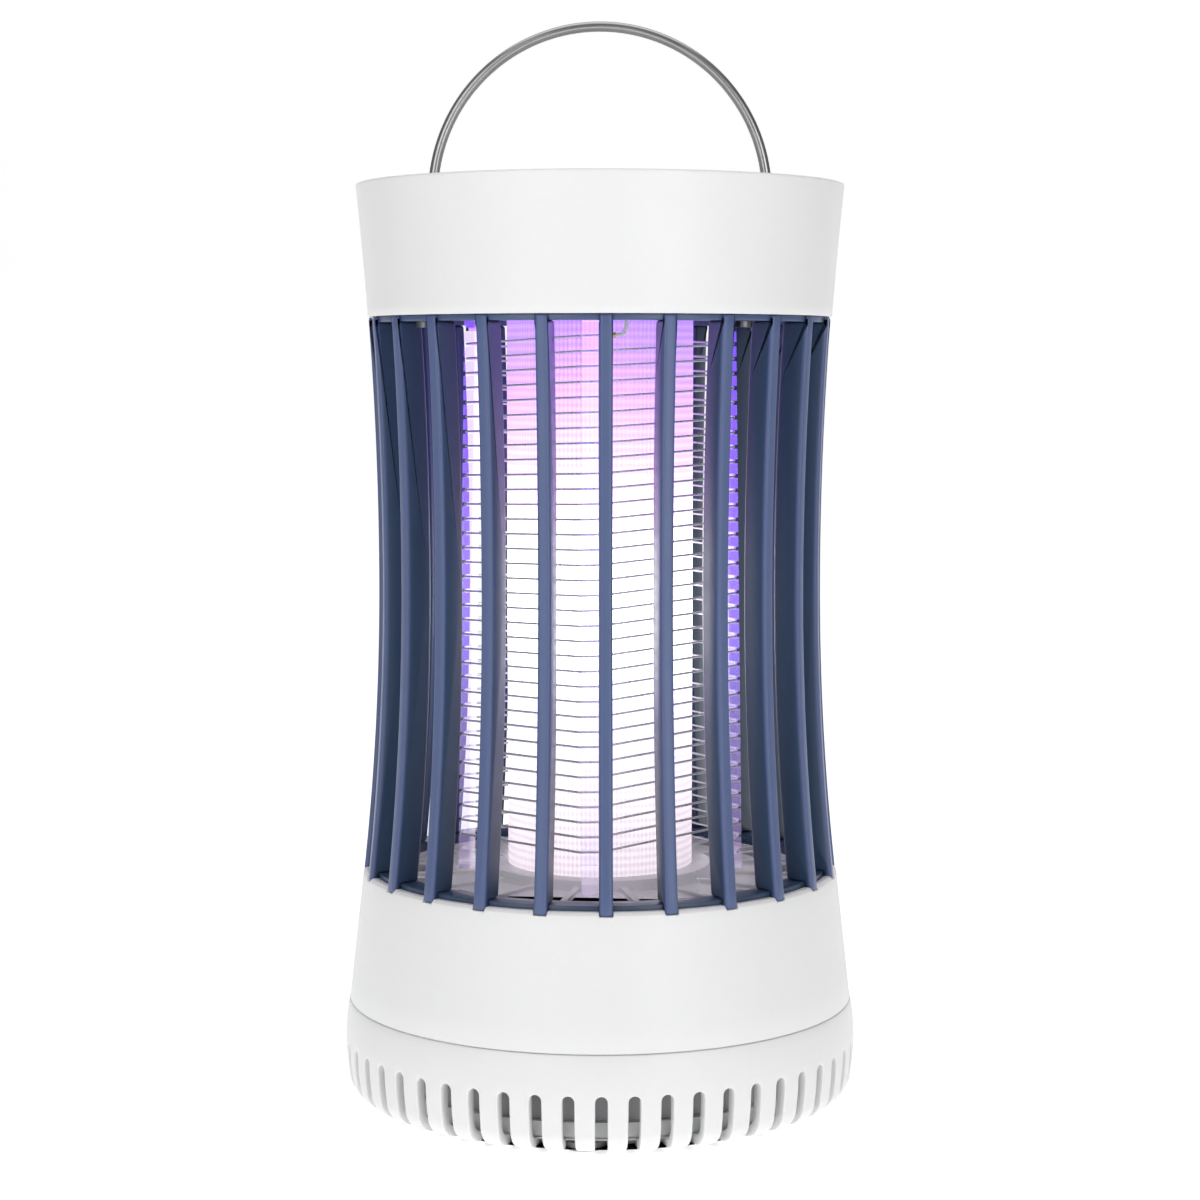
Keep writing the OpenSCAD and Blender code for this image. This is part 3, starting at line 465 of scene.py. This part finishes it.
def make_finishes():
    """Every material slot of the record, with its finish."""
    made = {}
    made["white_shell"] = moulded("satin white moulding", (0.86,) * 3, 0.38, spread=0.006, soft=0.06)
    made["grey_cup"] = moulded("grey cup", (0.46, 0.465, 0.475), 0.55, 1400, 0.00004, 0.1)
    made["foot_rubber"] = moulded("grey foot rubber", (0.33, 0.33, 0.335), 0.75, 1800, 0.00006, 0.12)
    made["cover_rubber"] = moulded("white silicone", (0.80, 0.80, 0.80), 0.55, 1800, 0.00003, 0.03)
    made["button_grey"] = moulded("satin grey button", (0.50, 0.51, 0.53), 0.32, 2400, 0.00002, 0.04)
    made["switch_black"] = moulded("black housing", (0.02, 0.02, 0.022), 0.5, 2000, 0.00003, 0.2)
    made["plug_ivory"] = moulded("nylon plug", (0.78, 0.73, 0.58), 0.5, 2200, 0.00002, 0.05)
    made["ferrite"] = moulded("sintered ferrite", (0.05, 0.05, 0.052), 0.62, 1500, 0.00008, 0.25)
    made["capacitor_blue"] = moulded("dipped ceramic", (0.05, 0.16, 0.46), 0.3, 700, 0.00006, 0.1)
    made["lead_red"] = moulded("red insulation", (0.42, 0.025, 0.02), 0.42, 1500, 0.00002, 0.1)
    made["lead_white"] = moulded("white insulation", (0.78, 0.78, 0.77), 0.42, 1500, 0.00002, 0.04)
    made["lamp_board"] = moulded("white solder mask", (0.82, 0.82, 0.84), 0.3, 900, 0.00002, 0.04)
    made["handle_steel"] = handle_finish()
    made["grid_steel"] = drawn_metal("grid wire", (0.60, 0.60, 0.63), 0.32, (1, 1, 1), 1500)
    # painted shade: the screws are coloured dark to stand for the shade they lie in between the fins
    made["screw_steel"] = drawn_metal(
        "shade-darkened steel screws", (0.17, 0.175, 0.19), 0.36, (1, 1, 0.2), 1300
    )
    made["lamp_aluminium"] = drawn_metal(
        "extruded aluminium", (0.76, 0.77, 0.79), 0.4, (1, 1, 0.03), 1500
    )
    made["crimp_brass"] = drawn_metal("crimped brass", (0.72, 0.52, 0.22), 0.35, (1, 1, 1), 1200)
    made["coil_copper"] = drawn_metal("enamelled winding", (0.55, 0.22, 0.08), 0.35, (0.1, 1, 1), 1800)
    made["tab_nickel"] = drawn_metal("nickel strip", (0.66, 0.63, 0.57), 0.34, (0.1, 1, 0.1), 1500)
    made["cell_wrap"] = moulded("shrink wrap", (0.03, 0.30, 0.13), 0.28, 260, 0.00005, 0.08)
    made["blue_guard"] = guard_finish()
    made["pale_plate"] = plate_finish()
    made["clear_post"] = post_finish()
    made["lamp_glass"] = tube_finish()
    made["uv_lamp"] = lamp_finish()
    made["lens_clear"] = lens_finish()
    made["status_green"] = status_finish()
    made["board_green"] = board_finish()
    return {slot: finish.material for slot, finish in made.items()}


def guard_finish():
    """Slate-blue moulding with painted shade: pale along its outer edges, shaded darker on its flanks
    and rings, the deeper they lie inside the lantern's side.
    """
    finish = moulded("slate-blue guard", (0.066, 0.103, 0.235), 0.36, 2200, 0.00003, 0.06)
    height, parts = finish.height_mm()
    swell = WAIST_R
    for way, radius, end_z in ((1, RIM_R, RIM_Z), (-1, SKIRT_TOP_R, SKIRT_TOP)):
        past = finish.sums("MULTIPLY", finish.sums("SUBTRACT", height, WAIST_Z), way)
        square = finish.sums("POWER", finish.sums("MAXIMUM", past, 0.0), 2)
        rate = (radius - WAIST_R) / (end_z - WAIST_Z) ** 2
        swell = finish.sums("ADD", finish.sums("MULTIPLY", square, rate), swell)
    # painted shade: the colour darkens with the depth below the lantern's side, where the flanks and
    # rings lie in shade
    depth = finish.sums("SUBTRACT", swell, finish.reach_mm(parts))
    share = finish.ranged(depth, 1.0, 0.0, 0.7, 1.2)
    finish.link(
        finish.ramp(share, [(0.0, (0.036, 0.066, 0.125)), (1.0, (0.072, 0.108, 0.245))]),
        finish.shader.inputs["Base Color"],
    )
    finish.shader.inputs["Coat Weight"].default_value = 0.15
    finish.shader.inputs["Coat Roughness"].default_value = 0.25
    return finish


def handle_finish():
    """Bent stainless wire: smooth, with a faint unevenness in its gloss."""
    finish = Finish("bent stainless wire", 0.3, 1.0)
    haze = finish.noise(90, 2)
    finish.colour(haze, (0.40, 0.40, 0.405), (0.44, 0.44, 0.445))
    finish.wear(haze, 0.26, 0.34)
    finish.grain(finish.noise(700, 2), 0.000004, 0.2)
    return finish


def plate_finish():
    finish = moulded("pale translucent plate", (0.84, 0.82, 0.84), 0.3, 1800, 0.00002, 0.03)
    finish.shader.inputs["Transmission Weight"].default_value = 0.15
    finish.shader.inputs["IOR"].default_value = 1.3
    return finish


# colours of the lamps' light painted on the tube, from its foot to its top
GLOW = [
    (0.00, (0.72, 0.66, 0.70)),
    (0.14, (0.80, 0.74, 0.80)),
    (0.30, (0.86, 0.80, 0.95)),
    (0.40, (1.00, 0.98, 1.00)),
    (0.56, (1.00, 0.96, 1.00)),
    (0.68, (0.88, 0.66, 0.98)),
    (0.84, (0.68, 0.44, 0.92)),
    (1.00, (0.43, 0.26, 0.82)),
]


def along_lamp(finish):
    """0 at the foot of the lamp tube, 1 at its top."""
    height, parts = finish.height_mm()
    return finish.ranged(height, 0.0, 1.0, tube_low.z, tube_high.z), height, parts


def post_finish():
    """Clear plastic with the lamp's light painted on as a glow: violet outside, paler inside and where
    a wire crosses.
    """
    finish = moulded("clear post", (0.34, 0.26, 0.60), 0.22, 1500, 0.00002, 0.1)
    share, height, parts = along_lamp(finish)
    # painted light: glow colours of the posts' outer and inner faces, from the foot of the lamp tube to
    # its top
    outer = finish.ramp(share, [
        (0.0, (0.10, 0.08, 0.12)), (0.25, (0.13, 0.09, 0.26)), (0.5, (0.20, 0.10, 0.78)),
        (1.0, (0.13, 0.03, 0.66)),
    ])
    inner = finish.ramp(share, [
        (0.0, (0.30, 0.27, 0.30)), (0.25, (0.50, 0.44, 0.60)), (0.5, (0.95, 0.88, 1.0)),
        (1.0, (0.62, 0.34, 0.92)),
    ])
    # painted light: the glow is paler on the inner faces towards the lamp and in bands where a wire
    # crosses
    reach = finish.reach_mm(parts)
    upright = finish.sums("ADD", reach, finish.sums("MULTIPLY", share, CAGE_FOOT_R - CAGE_TOP_R))
    inner_r = post_high.x - 2.5
    inside = finish.ranged(upright, 1.0, 0.0, inner_r, inner_r + 0.4)
    turn = finish.sums("ARCTAN2", parts.outputs["Y"], parts.outputs["X"])
    climb = finish.sums("SUBTRACT", height, finish.sums("MULTIPLY", turn, WIRE_LEAD / math.tau))
    rung = finish.sums("PINGPONG", finish.sums("SUBTRACT", climb, WIRE_START), WIRE_LEAD / 4)
    band = finish.ranged(rung, 0.75, 0.0, 0.25, 0.5)
    pale = finish.sums("MAXIMUM", inside, band)
    painted_glow = finish.add("Mix", data_type="RGBA")
    finish.link(pale, painted_glow.inputs["Factor"])
    finish.link(outer, painted_glow.inputs[6])
    finish.link(inner, painted_glow.inputs[7])
    finish.link(painted_glow.outputs[2], finish.shader.inputs["Emission Color"])
    finish.shader.inputs["Emission Strength"].default_value = 3.0
    finish.shader.inputs["Alpha"].default_value = 0.22
    return finish


def tube_finish():
    """Prismatic tube with the lamps' light painted on as a glow: small cells of painted light and
    shade, brightest level with the middle of the lamps.
    """
    row_pitch, power = 1.55, 1.9
    finish = Finish("prismatic lamp tube", 0.22)
    share, height, parts = along_lamp(finish)
    turn = finish.sums("ARCTAN2", parts.outputs["Y"], parts.outputs["X"])
    bars = finish.sums("SINE", finish.sums("MULTIPLY", turn, FLUTES))
    rows = finish.sums("SINE", finish.sums("MULTIPLY", height, math.tau / row_pitch))
    cells = finish.sums("ADD", finish.sums("MULTIPLY", bars, 0.5), finish.sums("MULTIPLY", rows, 0.5))
    # painted light and shade of the prisms: the glow is stronger and weaker across each cell
    painted_prism_shade = finish.ranged(cells, 0.6, 1.15, -0.8, 0.8)
    glow = finish.ramp(share, GLOW)
    finish.link(glow, finish.shader.inputs["Base Color"])
    finish.link(glow, finish.shader.inputs["Emission Color"])
    levels = ((0.0, 0.39), (0.25, 0.44), (0.42, 1.0), (0.56, 1.0), (0.72, 0.5), (1.0, 0.42))
    swell = finish.ramp(share, [(place, (level,) * 3) for place, level in levels])
    strength = finish.sums("MULTIPLY", finish.sums("MULTIPLY", swell, power), painted_prism_shade)
    finish.link(strength, finish.shader.inputs["Emission Strength"])
    finish.shader.inputs["Transmission Weight"].default_value = 0.0
    finish.grain(cells, 0.00012, 0.6)
    finish.shader.inputs["Alpha"].default_value = 0.86
    return finish


def lamp_finish():
    finish = moulded("ultraviolet lamp", (0.75, 0.66, 0.95), 0.25, 800, 0.00002, 0.08)
    finish.shader.inputs["Emission Color"].default_value = (0.45, 0.25, 1.0, 1)
    finish.shader.inputs["Emission Strength"].default_value = 6.0
    return finish


def lens_finish():
    finish = moulded("clear lens", (0.80, 0.92, 0.84), 0.12, 900, 0.00001, 0.03)
    finish.shader.inputs["Transmission Weight"].default_value = 0.7
    finish.shader.inputs["IOR"].default_value = 1.49
    return finish


def status_finish():
    finish = moulded("green lamp", (0.2, 0.7, 0.25), 0.25, 700, 0.00001, 0.06)
    finish.shader.inputs["Emission Color"].default_value = (0.15, 1.0, 0.25, 1)
    finish.shader.inputs["Emission Strength"].default_value = 3.0
    return finish


def board_finish():
    """Green solder mask with a faint weave of the glass cloth under it."""
    finish = moulded("green board", (0.02, 0.16, 0.07), 0.35, 1200, 0.00002, 0.12)
    weave = finish.add("TexWave", wave_type="BANDS", bands_direction="DIAGONAL")
    weave.inputs["Scale"].default_value = 900
    finish.link(finish.place, weave.inputs["Vector"])
    finish.grain(weave.outputs["Fac"], 0.00002)
    return finish


# ---------------------------------------------------------------- white shells

def make_head(skin):
    cover_low, cover_high = box_mm("usb_cover")
    socket_low, socket_high = box_mm("usb_socket")
    deck_r, seat_z = deck_high.y, deck_low.z
    round_r, lip_r = 0.4, 0.7
    seat_w, seat_t, slope_h = 3.6, 1.5, 5
    mouth_x, mouth_z, mouth_round = 5.2, 2.1, 2.0
    side_room, low_room, hinge_room, cover_t = 0.3, 0.4, 1.0, 1.2
    outside_y = RIM_R + 5
    outline = [(side_r(z), z) for z in steps(HEAD_Z, RIM_Z - round_r, 14)]
    outline += arc(RIM_R - round_r, RIM_Z - round_r, round_r, 18, 90, 5)
    outline += arc(deck_r + SLACK + lip_r, RIM_Z - lip_r, lip_r, 90, 180, 5)
    outline += [
        (deck_r + SLACK, seat_z), (deck_r - seat_w, seat_z), (deck_r - seat_w, seat_z - seat_t),
        (side_r(seat_z - slope_h) - WALL, seat_z - slope_h),
    ]
    outline += [(side_r(z) - WALL, z) for z in steps(seat_z - slope_h - 2, HEAD_Z, 5)]
    head = turned("white_head", outline)
    recess = block(
        "recess",
        (-cover_high.x - side_room, cover_low.y + cover_t - SLACK, cover_low.z - low_room),
        (cover_high.x + side_room, outside_y, cover_high.z + hinge_room),
    )
    cut(head, recess)
    mid = (socket_low.z + socket_high.z) / 2
    mouth = block(
        "mouth", (-mouth_x, socket_high.y - 3, mid - mouth_z), (mouth_x, outside_y, mid + mouth_z)
    )
    corner = Vector((mouth_x, mouth_z))
    pick(mouth, lambda p: (Vector((abs(p.x), abs(p.z - mid))) - corner).length < 0.01, "EDGE")
    bpy.ops.mesh.bevel(offset=mouth_round, segments=6)
    leave()
    cut(head, mouth)
    round_edges(head, 0.22, 2)
    finished(head, "housing", skin, "white_shell", "head_shell")


def make_skirt(skin):
    ledge_z, ledge_t, ledge_w = SKIRT_TOP - 3, 2.5, 7
    under_z = ledge_z - ledge_t
    chamfer, fillet = 0.6, 0.8
    in_r = SKIRT_TOP_R - WALL + SLACK
    outline = [(side_r(z), z) for z in steps(skirt_low.z, ledge_z, 5)]
    outline += [
        (side_r(SKIRT_TOP - chamfer), SKIRT_TOP - chamfer), (SKIRT_TOP_R - chamfer, SKIRT_TOP),
        (in_r, SKIRT_TOP), (in_r, ledge_z), (SKIRT_TOP_R - ledge_w, ledge_z),
        (SKIRT_TOP_R - ledge_w, under_z), (side_r(under_z) - WALL - fillet, under_z),
        (side_r(under_z - fillet) - WALL, under_z - fillet),
        (side_r(skirt_low.z) - WALL, skirt_low.z),
    ]
    skirt = turned("white_skirt", outline, 4 * FINS)
    turn_about_axis(skirt, FIN_TURN + math.pi / (4 * FINS))
    half, foot_z = FIN_T / 2 + SLACK, SKIRT_TOP - LOBE_DROP - SLACK
    notch = block("notch", (in_r - 1, -half, foot_z), (in_r + 4, half, SKIRT_TOP + 3))
    cut(skirt, spread_round(notch, FINS, FIN_TURN))
    round_edges(skirt, 0.18, 2)
    finished(skirt, "housing", skin, "white_shell", "base_skirt")


def make_tray(skin):
    seam_gap, clip_gap = 0.16, 0.35
    z0, top = tray_low.z, skirt_low.z - seam_gap
    bend_r = tray_r(z0 + TRAY_EDGE) - TRAY_EDGE
    bend_z = z0 + TRAY_EDGE
    wall, floor_t, collar_w = 2.2, 2.0, 1.6
    collar_root, slope_h = 2, 2.5
    collar_r = side_r(tray_high.z) - WALL - clip_gap
    slope_z = top - collar_root - slope_h
    outline = [(0, z0)] + arc(bend_r, bend_z, TRAY_EDGE, -90, 0, 10)
    outline += [(tray_r(z), z) for z in steps(bend_z + 1.5, top, 8)]
    outline += [
        (collar_r, top), (collar_r, tray_high.z), (collar_r - collar_w, tray_high.z),
        (collar_r - collar_w, top - collar_root), (tray_r(slope_z) - wall, slope_z),
        (tray_r(bend_z) - wall, bend_z),
    ]
    outline += arc(bend_r, bend_z, TRAY_EDGE - wall, 0, -90, 6)[1:]
    outline += [(bend_r - 1, z0 + floor_t), (0, z0 + floor_t)]
    tray = turned("slotted_tray", outline, 2 * SLOTS)
    turn_about_axis(tray, SLOT_TURN + math.pi / (2 * SLOTS))
    half, arch_z = SLOT_W / 2, z0 + SLOT_TOP - SLOT_W / 2
    shape = [(-half, z0 - 1)] + arc(0, arch_z, half, 180, 0, 8) + [(half, z0 - 1)]
    slot_in, slot_l = 9, 11
    slot = chain("slot", [(BASE_R - slot_in, y, z) for y, z in shape])
    pick(slot, lambda p: True)
    bpy.ops.mesh.edge_face_add()
    bpy.ops.mesh.extrude_region_move(TRANSFORM_OT_translate={"value": (slot_l, 0, 0)})
    leave()
    tidy_mesh(slot)
    cut(tray, spread_round(slot, SLOTS, SLOT_TURN))
    round_edges(tray, 0.26, 3, 40)
    seat_r, seat_t, seat_h = BASE_R - 6.8, 1.2, 3.15
    seat_z = z0 + floor_t
    root_z, brim_z = seat_z - 0.5, seat_z + seat_h
    seat_in_r = seat_r - seat_t
    seat = turned(
        "seat", [(seat_r, root_z), (seat_r, brim_z), (seat_in_r, brim_z), (seat_in_r, root_z)]
    )
    join(tray, seat)
    finished(tray, "tray", skin, "white_shell", "base_tray")


def make_cup(skin):
    r, z0, z1 = cup_high.x, cup_low.z, cup_high.z
    wall, corner, fillet = 1.5, 1.2, 0.8
    outline = [(0, z0)] + arc(r - corner, z0 + corner, corner, -90, 0, 5)
    outline += [
        (r, z1), (r - wall, z1), (r - wall, z0 + wall + fillet), (r - wall - fillet, z0 + wall),
        (0, z0 + wall),
    ]
    cup = turned("collection_cup_wall", outline)
    round_edges(cup, 0.3, 2)
    finished(cup, "tray", skin, "grey_cup", "collection_cup")


# ---------------------------------------------------------------- guard, cage and lamp

def make_fins(skin):
    tip_gap = 0.1
    toe_z, tip_z = SKIRT_TOP - LOBE_DROP, HEAD_Z - tip_gap
    top_r, low_r = upper_high.x + SLACK, lower_high.x + 2 * SLACK
    outline = [(side_r(z) - FIN_INSET, z) for z in steps(toe_z, tip_z, 36)]
    outline += [(top_r, tip_z), (top_r, upper_low.z)]
    inset = FIN_INSET + FIN_DEPTH
    outline += [(side_r(z) - inset, z) for z in steps(upper_low.z, lower_high.z, 30)]
    outline += [(low_r, lower_high.z), (low_r, toe_z)]
    fin = plate("guard_fins_rounded", outline, FIN_T)
    round_edges(fin, 0.62, 3)
    spread_round(fin, FINS, FIN_TURN)
    finished(fin, "housing", skin, "blue_guard", "guard_fins")


def post_reach(z):
    """Distance of a post's outer edge from the axis: the cage narrows upwards."""
    share = (z - lower_low.z) / (tube_high.z + SLACK - lower_low.z)
    return CAGE_FOOT_R + (CAGE_TOP_R - CAGE_FOOT_R) * share


def winding(name, start, quarters):
    """One winding: straight runs from post to post, seated in the notches."""
    route = []
    for k in range(quarters + 1):
        for side in (-1, 1):
            a = POST_TURN + k * math.pi / 2
            z = start + WIRE_LEAD * k / 4 + side * WIRE_CLIMB
            r = post_reach(z) - NOTCH_DEPTH + WIRE_R + SLACK
            across = side * (POST_W / 2 + WIRE_END)
            x, y = math.cos(a), math.sin(a)
            route.append((r * x - across * y, r * y + across * x, z))
    wire = chain(name, route)
    activate(wire)
    bpy.ops.object.convert(target="CURVE")
    wire = bpy.context.object
    wire.data.bevel_depth = WIRE_R
    wire.data.bevel_resolution = 2
    wire.data.use_fill_caps = True
    bpy.ops.object.convert(target="MESH")
    return bpy.context.object


def make_windings(skin):
    for name, node, low, high in (
        ("live_winding", "live_wire", live_low, live_high),
        ("return_winding", "return_wire", return_low, return_high),
    ):
        start = low.z + WIRE_R + WIRE_CLIMB
        quarters = round((high.z - low.z - 2 * WIRE_R) / (WIRE_LEAD / 4))
        wire = winding(name, start, quarters)
        finished(wire, "housing", skin, "grid_steel", node, smooth=60)


def make_tube(skin):
    radius, height = tube_high.x, tube_high.z - tube_low.z
    bpy.ops.object.select_all(action="DESELECT")
    bpy.ops.mesh.primitive_cylinder_add(
        vertices=2 * FLUTES, radius=radius, depth=height, end_fill_type="NOTHING",
        location=(0, 0, 0),
    )
    tube = bpy.context.object
    tube.name = "fluted_tube"
    pick(tube, lambda p: True)
    bpy.ops.transform.translate(value=(0, 0, tube_low.z + height / 2))
    leave()
    pick(tube, lambda p: round(math.atan2(p.y, p.x) * FLUTES / math.pi) % 2)
    groove = 1 - FLUTE_DEPTH / radius
    bpy.ops.transform.resize(value=(groove, groove, 1), center_override=(0, 0, 0))
    leave()
    activate(tube)
    wall = tube.modifiers.new("wall", "SOLIDIFY")
    wall.thickness = TUBE_WALL
    wall.offset = -1
    bpy.ops.object.modifier_apply(modifier=wall.name)
    finished(tube, "housing", skin, "lamp_glass", "lamp_tube", smooth=50)


# ---------------------------------------------------------------- handle and button

def make_handle(skin):
    wire_r = (handle_high.y - handle_low.y) / 2
    pivot_z = handle_low.z + wire_r
    bow_z = pivot_z + HANDLE_BEND
    bow_r = handle_high.z - wire_r - bow_z
    bend_x = bow_r + HANDLE_BEND
    tip_l, tip_share = 0.3, 0.75
    bpy.ops.object.select_all(action="DESELECT")
    bpy.ops.mesh.primitive_circle_add(
        vertices=20, radius=wire_r, location=(0, 0, 0), rotation=(0, math.pi / 2, 0)
    )
    handle = bpy.context.object
    handle.name = "bent_wire_handle"
    bpy.ops.object.transform_apply(location=True, rotation=True, scale=True)
    pick(handle, lambda p: True)
    bpy.ops.transform.translate(value=(0, 0, bow_z + bow_r))
    bpy.ops.mesh.spin(steps=48, angle=math.pi / 2, center=(0, 0, bow_z), axis=(0, -1, 0))
    leave()
    pick(handle, lambda p: abs(p.z - bow_z) < 0.01)
    bpy.ops.mesh.spin(steps=10, angle=math.pi / 2, center=(bend_x, 0, bow_z), axis=(0, 1, 0))
    leave()
    pick(handle, lambda p: abs(p.x - bend_x) < 0.01 and p.z < bow_z)
    for length in (handle_high.x - bend_x - tip_l, tip_l):
        bpy.ops.mesh.extrude_region_move(TRANSFORM_OT_translate={"value": (length, 0, 0)})
    bpy.ops.transform.resize(value=(1, tip_share, tip_share), center_override=(0, 0, pivot_z))
    bpy.ops.mesh.edge_face_add()
    leave()
    activate(handle)
    other = handle.modifiers.new("other side", "MIRROR")
    other.use_mirror_merge = True
    other.merge_threshold = 0.001
    bpy.ops.object.modifier_apply(modifier=other.name)
    tidy_mesh(handle)
    finished(handle, "handle", skin, "handle_steel", "carry_handle", smooth=50)


def make_button(skin):
    deck_t, flange_drop, flange_t, shoulder = 2, 1.3, 1, 0.75
    cap_r, cap_round, stem_r = 6.0, 0.5, 2
    dish = ((0, 0.45), (2.4, 0.4), (3.8, 0.2), (4.6, 0))
    flange_z = deck_low.z - flange_drop
    top, stem_z = button_high.z, button_low.z
    outline = [(r, top - depth) for r, depth in dish]
    outline += arc(cap_r - cap_round, top - cap_round, cap_round, 90, 0, 4)
    outline += [
        (cap_r, deck_low.z + deck_t + shoulder), (cap_r, flange_z + flange_t),
        (button_high.x, flange_z + flange_t), (button_high.x, flange_z),
        (stem_r, flange_z), (stem_r, stem_z), (0, stem_z),
    ]
    button = turned("power_button_cap", outline, 96)
    finished(button, "button", skin, "button_grey", "power_button")


# ---------------------------------------------------------------- the rest of the frame

SOFTENED = {                # new piece: node, edge radius
    "recess_deck": ("top_deck", 0.22),
    "guard_ring_below": ("guard_lower_ring", 0.2),
    "guard_ring_above": ("guard_upper_ring", 0.2),
    "ribbed_floor": ("floor_plate", 0.15),
    "rubber_feet": ("foot_pads", 0.3),
    "socket_flap": ("usb_cover", 0.18),
    "status_light": ("status_lens", 0.15),
    "deck_screw_set": ("deck_screws", 0.1),
}


def dress_frame(finishes):
    """Rounds the edges of the nodes in sight, and paints those that stay as they are."""
    slots = {part["node"]: part["material_slot"] for part in frame["record"]["subparts"]}
    for name, (node, width) in SOFTENED.items():
        piece = softened(name, node, width)
        body = frame["nodes"][node]["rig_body"]
        finished(piece, body, finishes[slots[node]], slots[node], node)
    for node, piece in frame["nodes"].items():
        piece.data.materials.clear()
        piece.data.materials.append(finishes[slots[node]])


# ---------------------------------------------------------------- studio

def add_stage():
    back_y, wall_h, bend = 2.5, 2.5, 0.9
    bpy.ops.object.select_all(action="DESELECT")
    bpy.ops.mesh.primitive_plane_add(size=4, location=(0, 0.6, 0))
    floor = bpy.context.object
    floor.name = "studio_floor"
    bpy.ops.object.transform_apply(location=True, rotation=True, scale=True)
    pick(floor, lambda p: p.y > back_y, "EDGE")
    bpy.ops.mesh.extrude_region_move(TRANSFORM_OT_translate={"value": (0, 0, wall_h)})
    leave()
    pick(floor, lambda p: p.y > back_y and abs(p.z) < 0.01, "EDGE")
    bpy.ops.mesh.bevel(offset=bend, segments=12)
    leave()
    paper = moulded("studio paper", (0.93, 0.93, 0.93), 0.8, 300, 0.0001, 0.005)
    paper.shader.inputs["Emission Color"].default_value = (1, 1, 1, 1)
    paper.shader.inputs["Emission Strength"].default_value = 0.6
    activate(floor)
    bpy.ops.object.shade_smooth_by_angle(angle=math.radians(40))
    floor.data.materials.append(paper.material)


def area_light(name, place, size, power, colour=(1, 1, 1)):
    data = bpy.data.lights.new(name, "AREA")
    data.shape = "RECTANGLE"
    data.size, data.size_y = size
    data.energy = power
    data.color = colour
    light = bpy.data.objects.new(name, data)
    bpy.context.scene.collection.objects.link(light)
    light.location = place
    aim = Vector((0, 0, 0.11)) - Vector(place)
    light.rotation_euler = aim.to_track_quat("-Z", "Y").to_euler()


def add_light():
    world = bpy.data.worlds.new("studio")
    bpy.context.scene.world = world
    world.use_nodes = True
    background = world.node_tree.nodes["Background"]
    background.inputs["Color"].default_value = (1, 1, 1, 1)
    background.inputs["Strength"].default_value = 0.2
    area_light("key", (-0.55, -0.95, 0.42), (0.6, 0.8), 2.9)
    area_light("fill", (0.58, -0.92, 0.16), (0.5, 0.8), 3.3)
    area_light("top", (0, 0.1, 1.2), (1.2, 1.2), 5.5)
    bpy.context.scene.view_settings.view_transform = "Standard"


# ---------------------------------------------------------------- making it

add_camera()
finishes = make_finishes()
dress_frame(finishes)
make_head(finishes["white_shell"])
make_skirt(finishes["white_shell"])
make_tray(finishes["white_shell"])
make_cup(finishes["grey_cup"])
make_fins(finishes["blue_guard"])
make_windings(finishes["grid_steel"])
make_tube(finishes["lamp_glass"])
make_handle(finishes["handle_steel"])
make_button(finishes["button_grey"])
add_stage()
add_light()
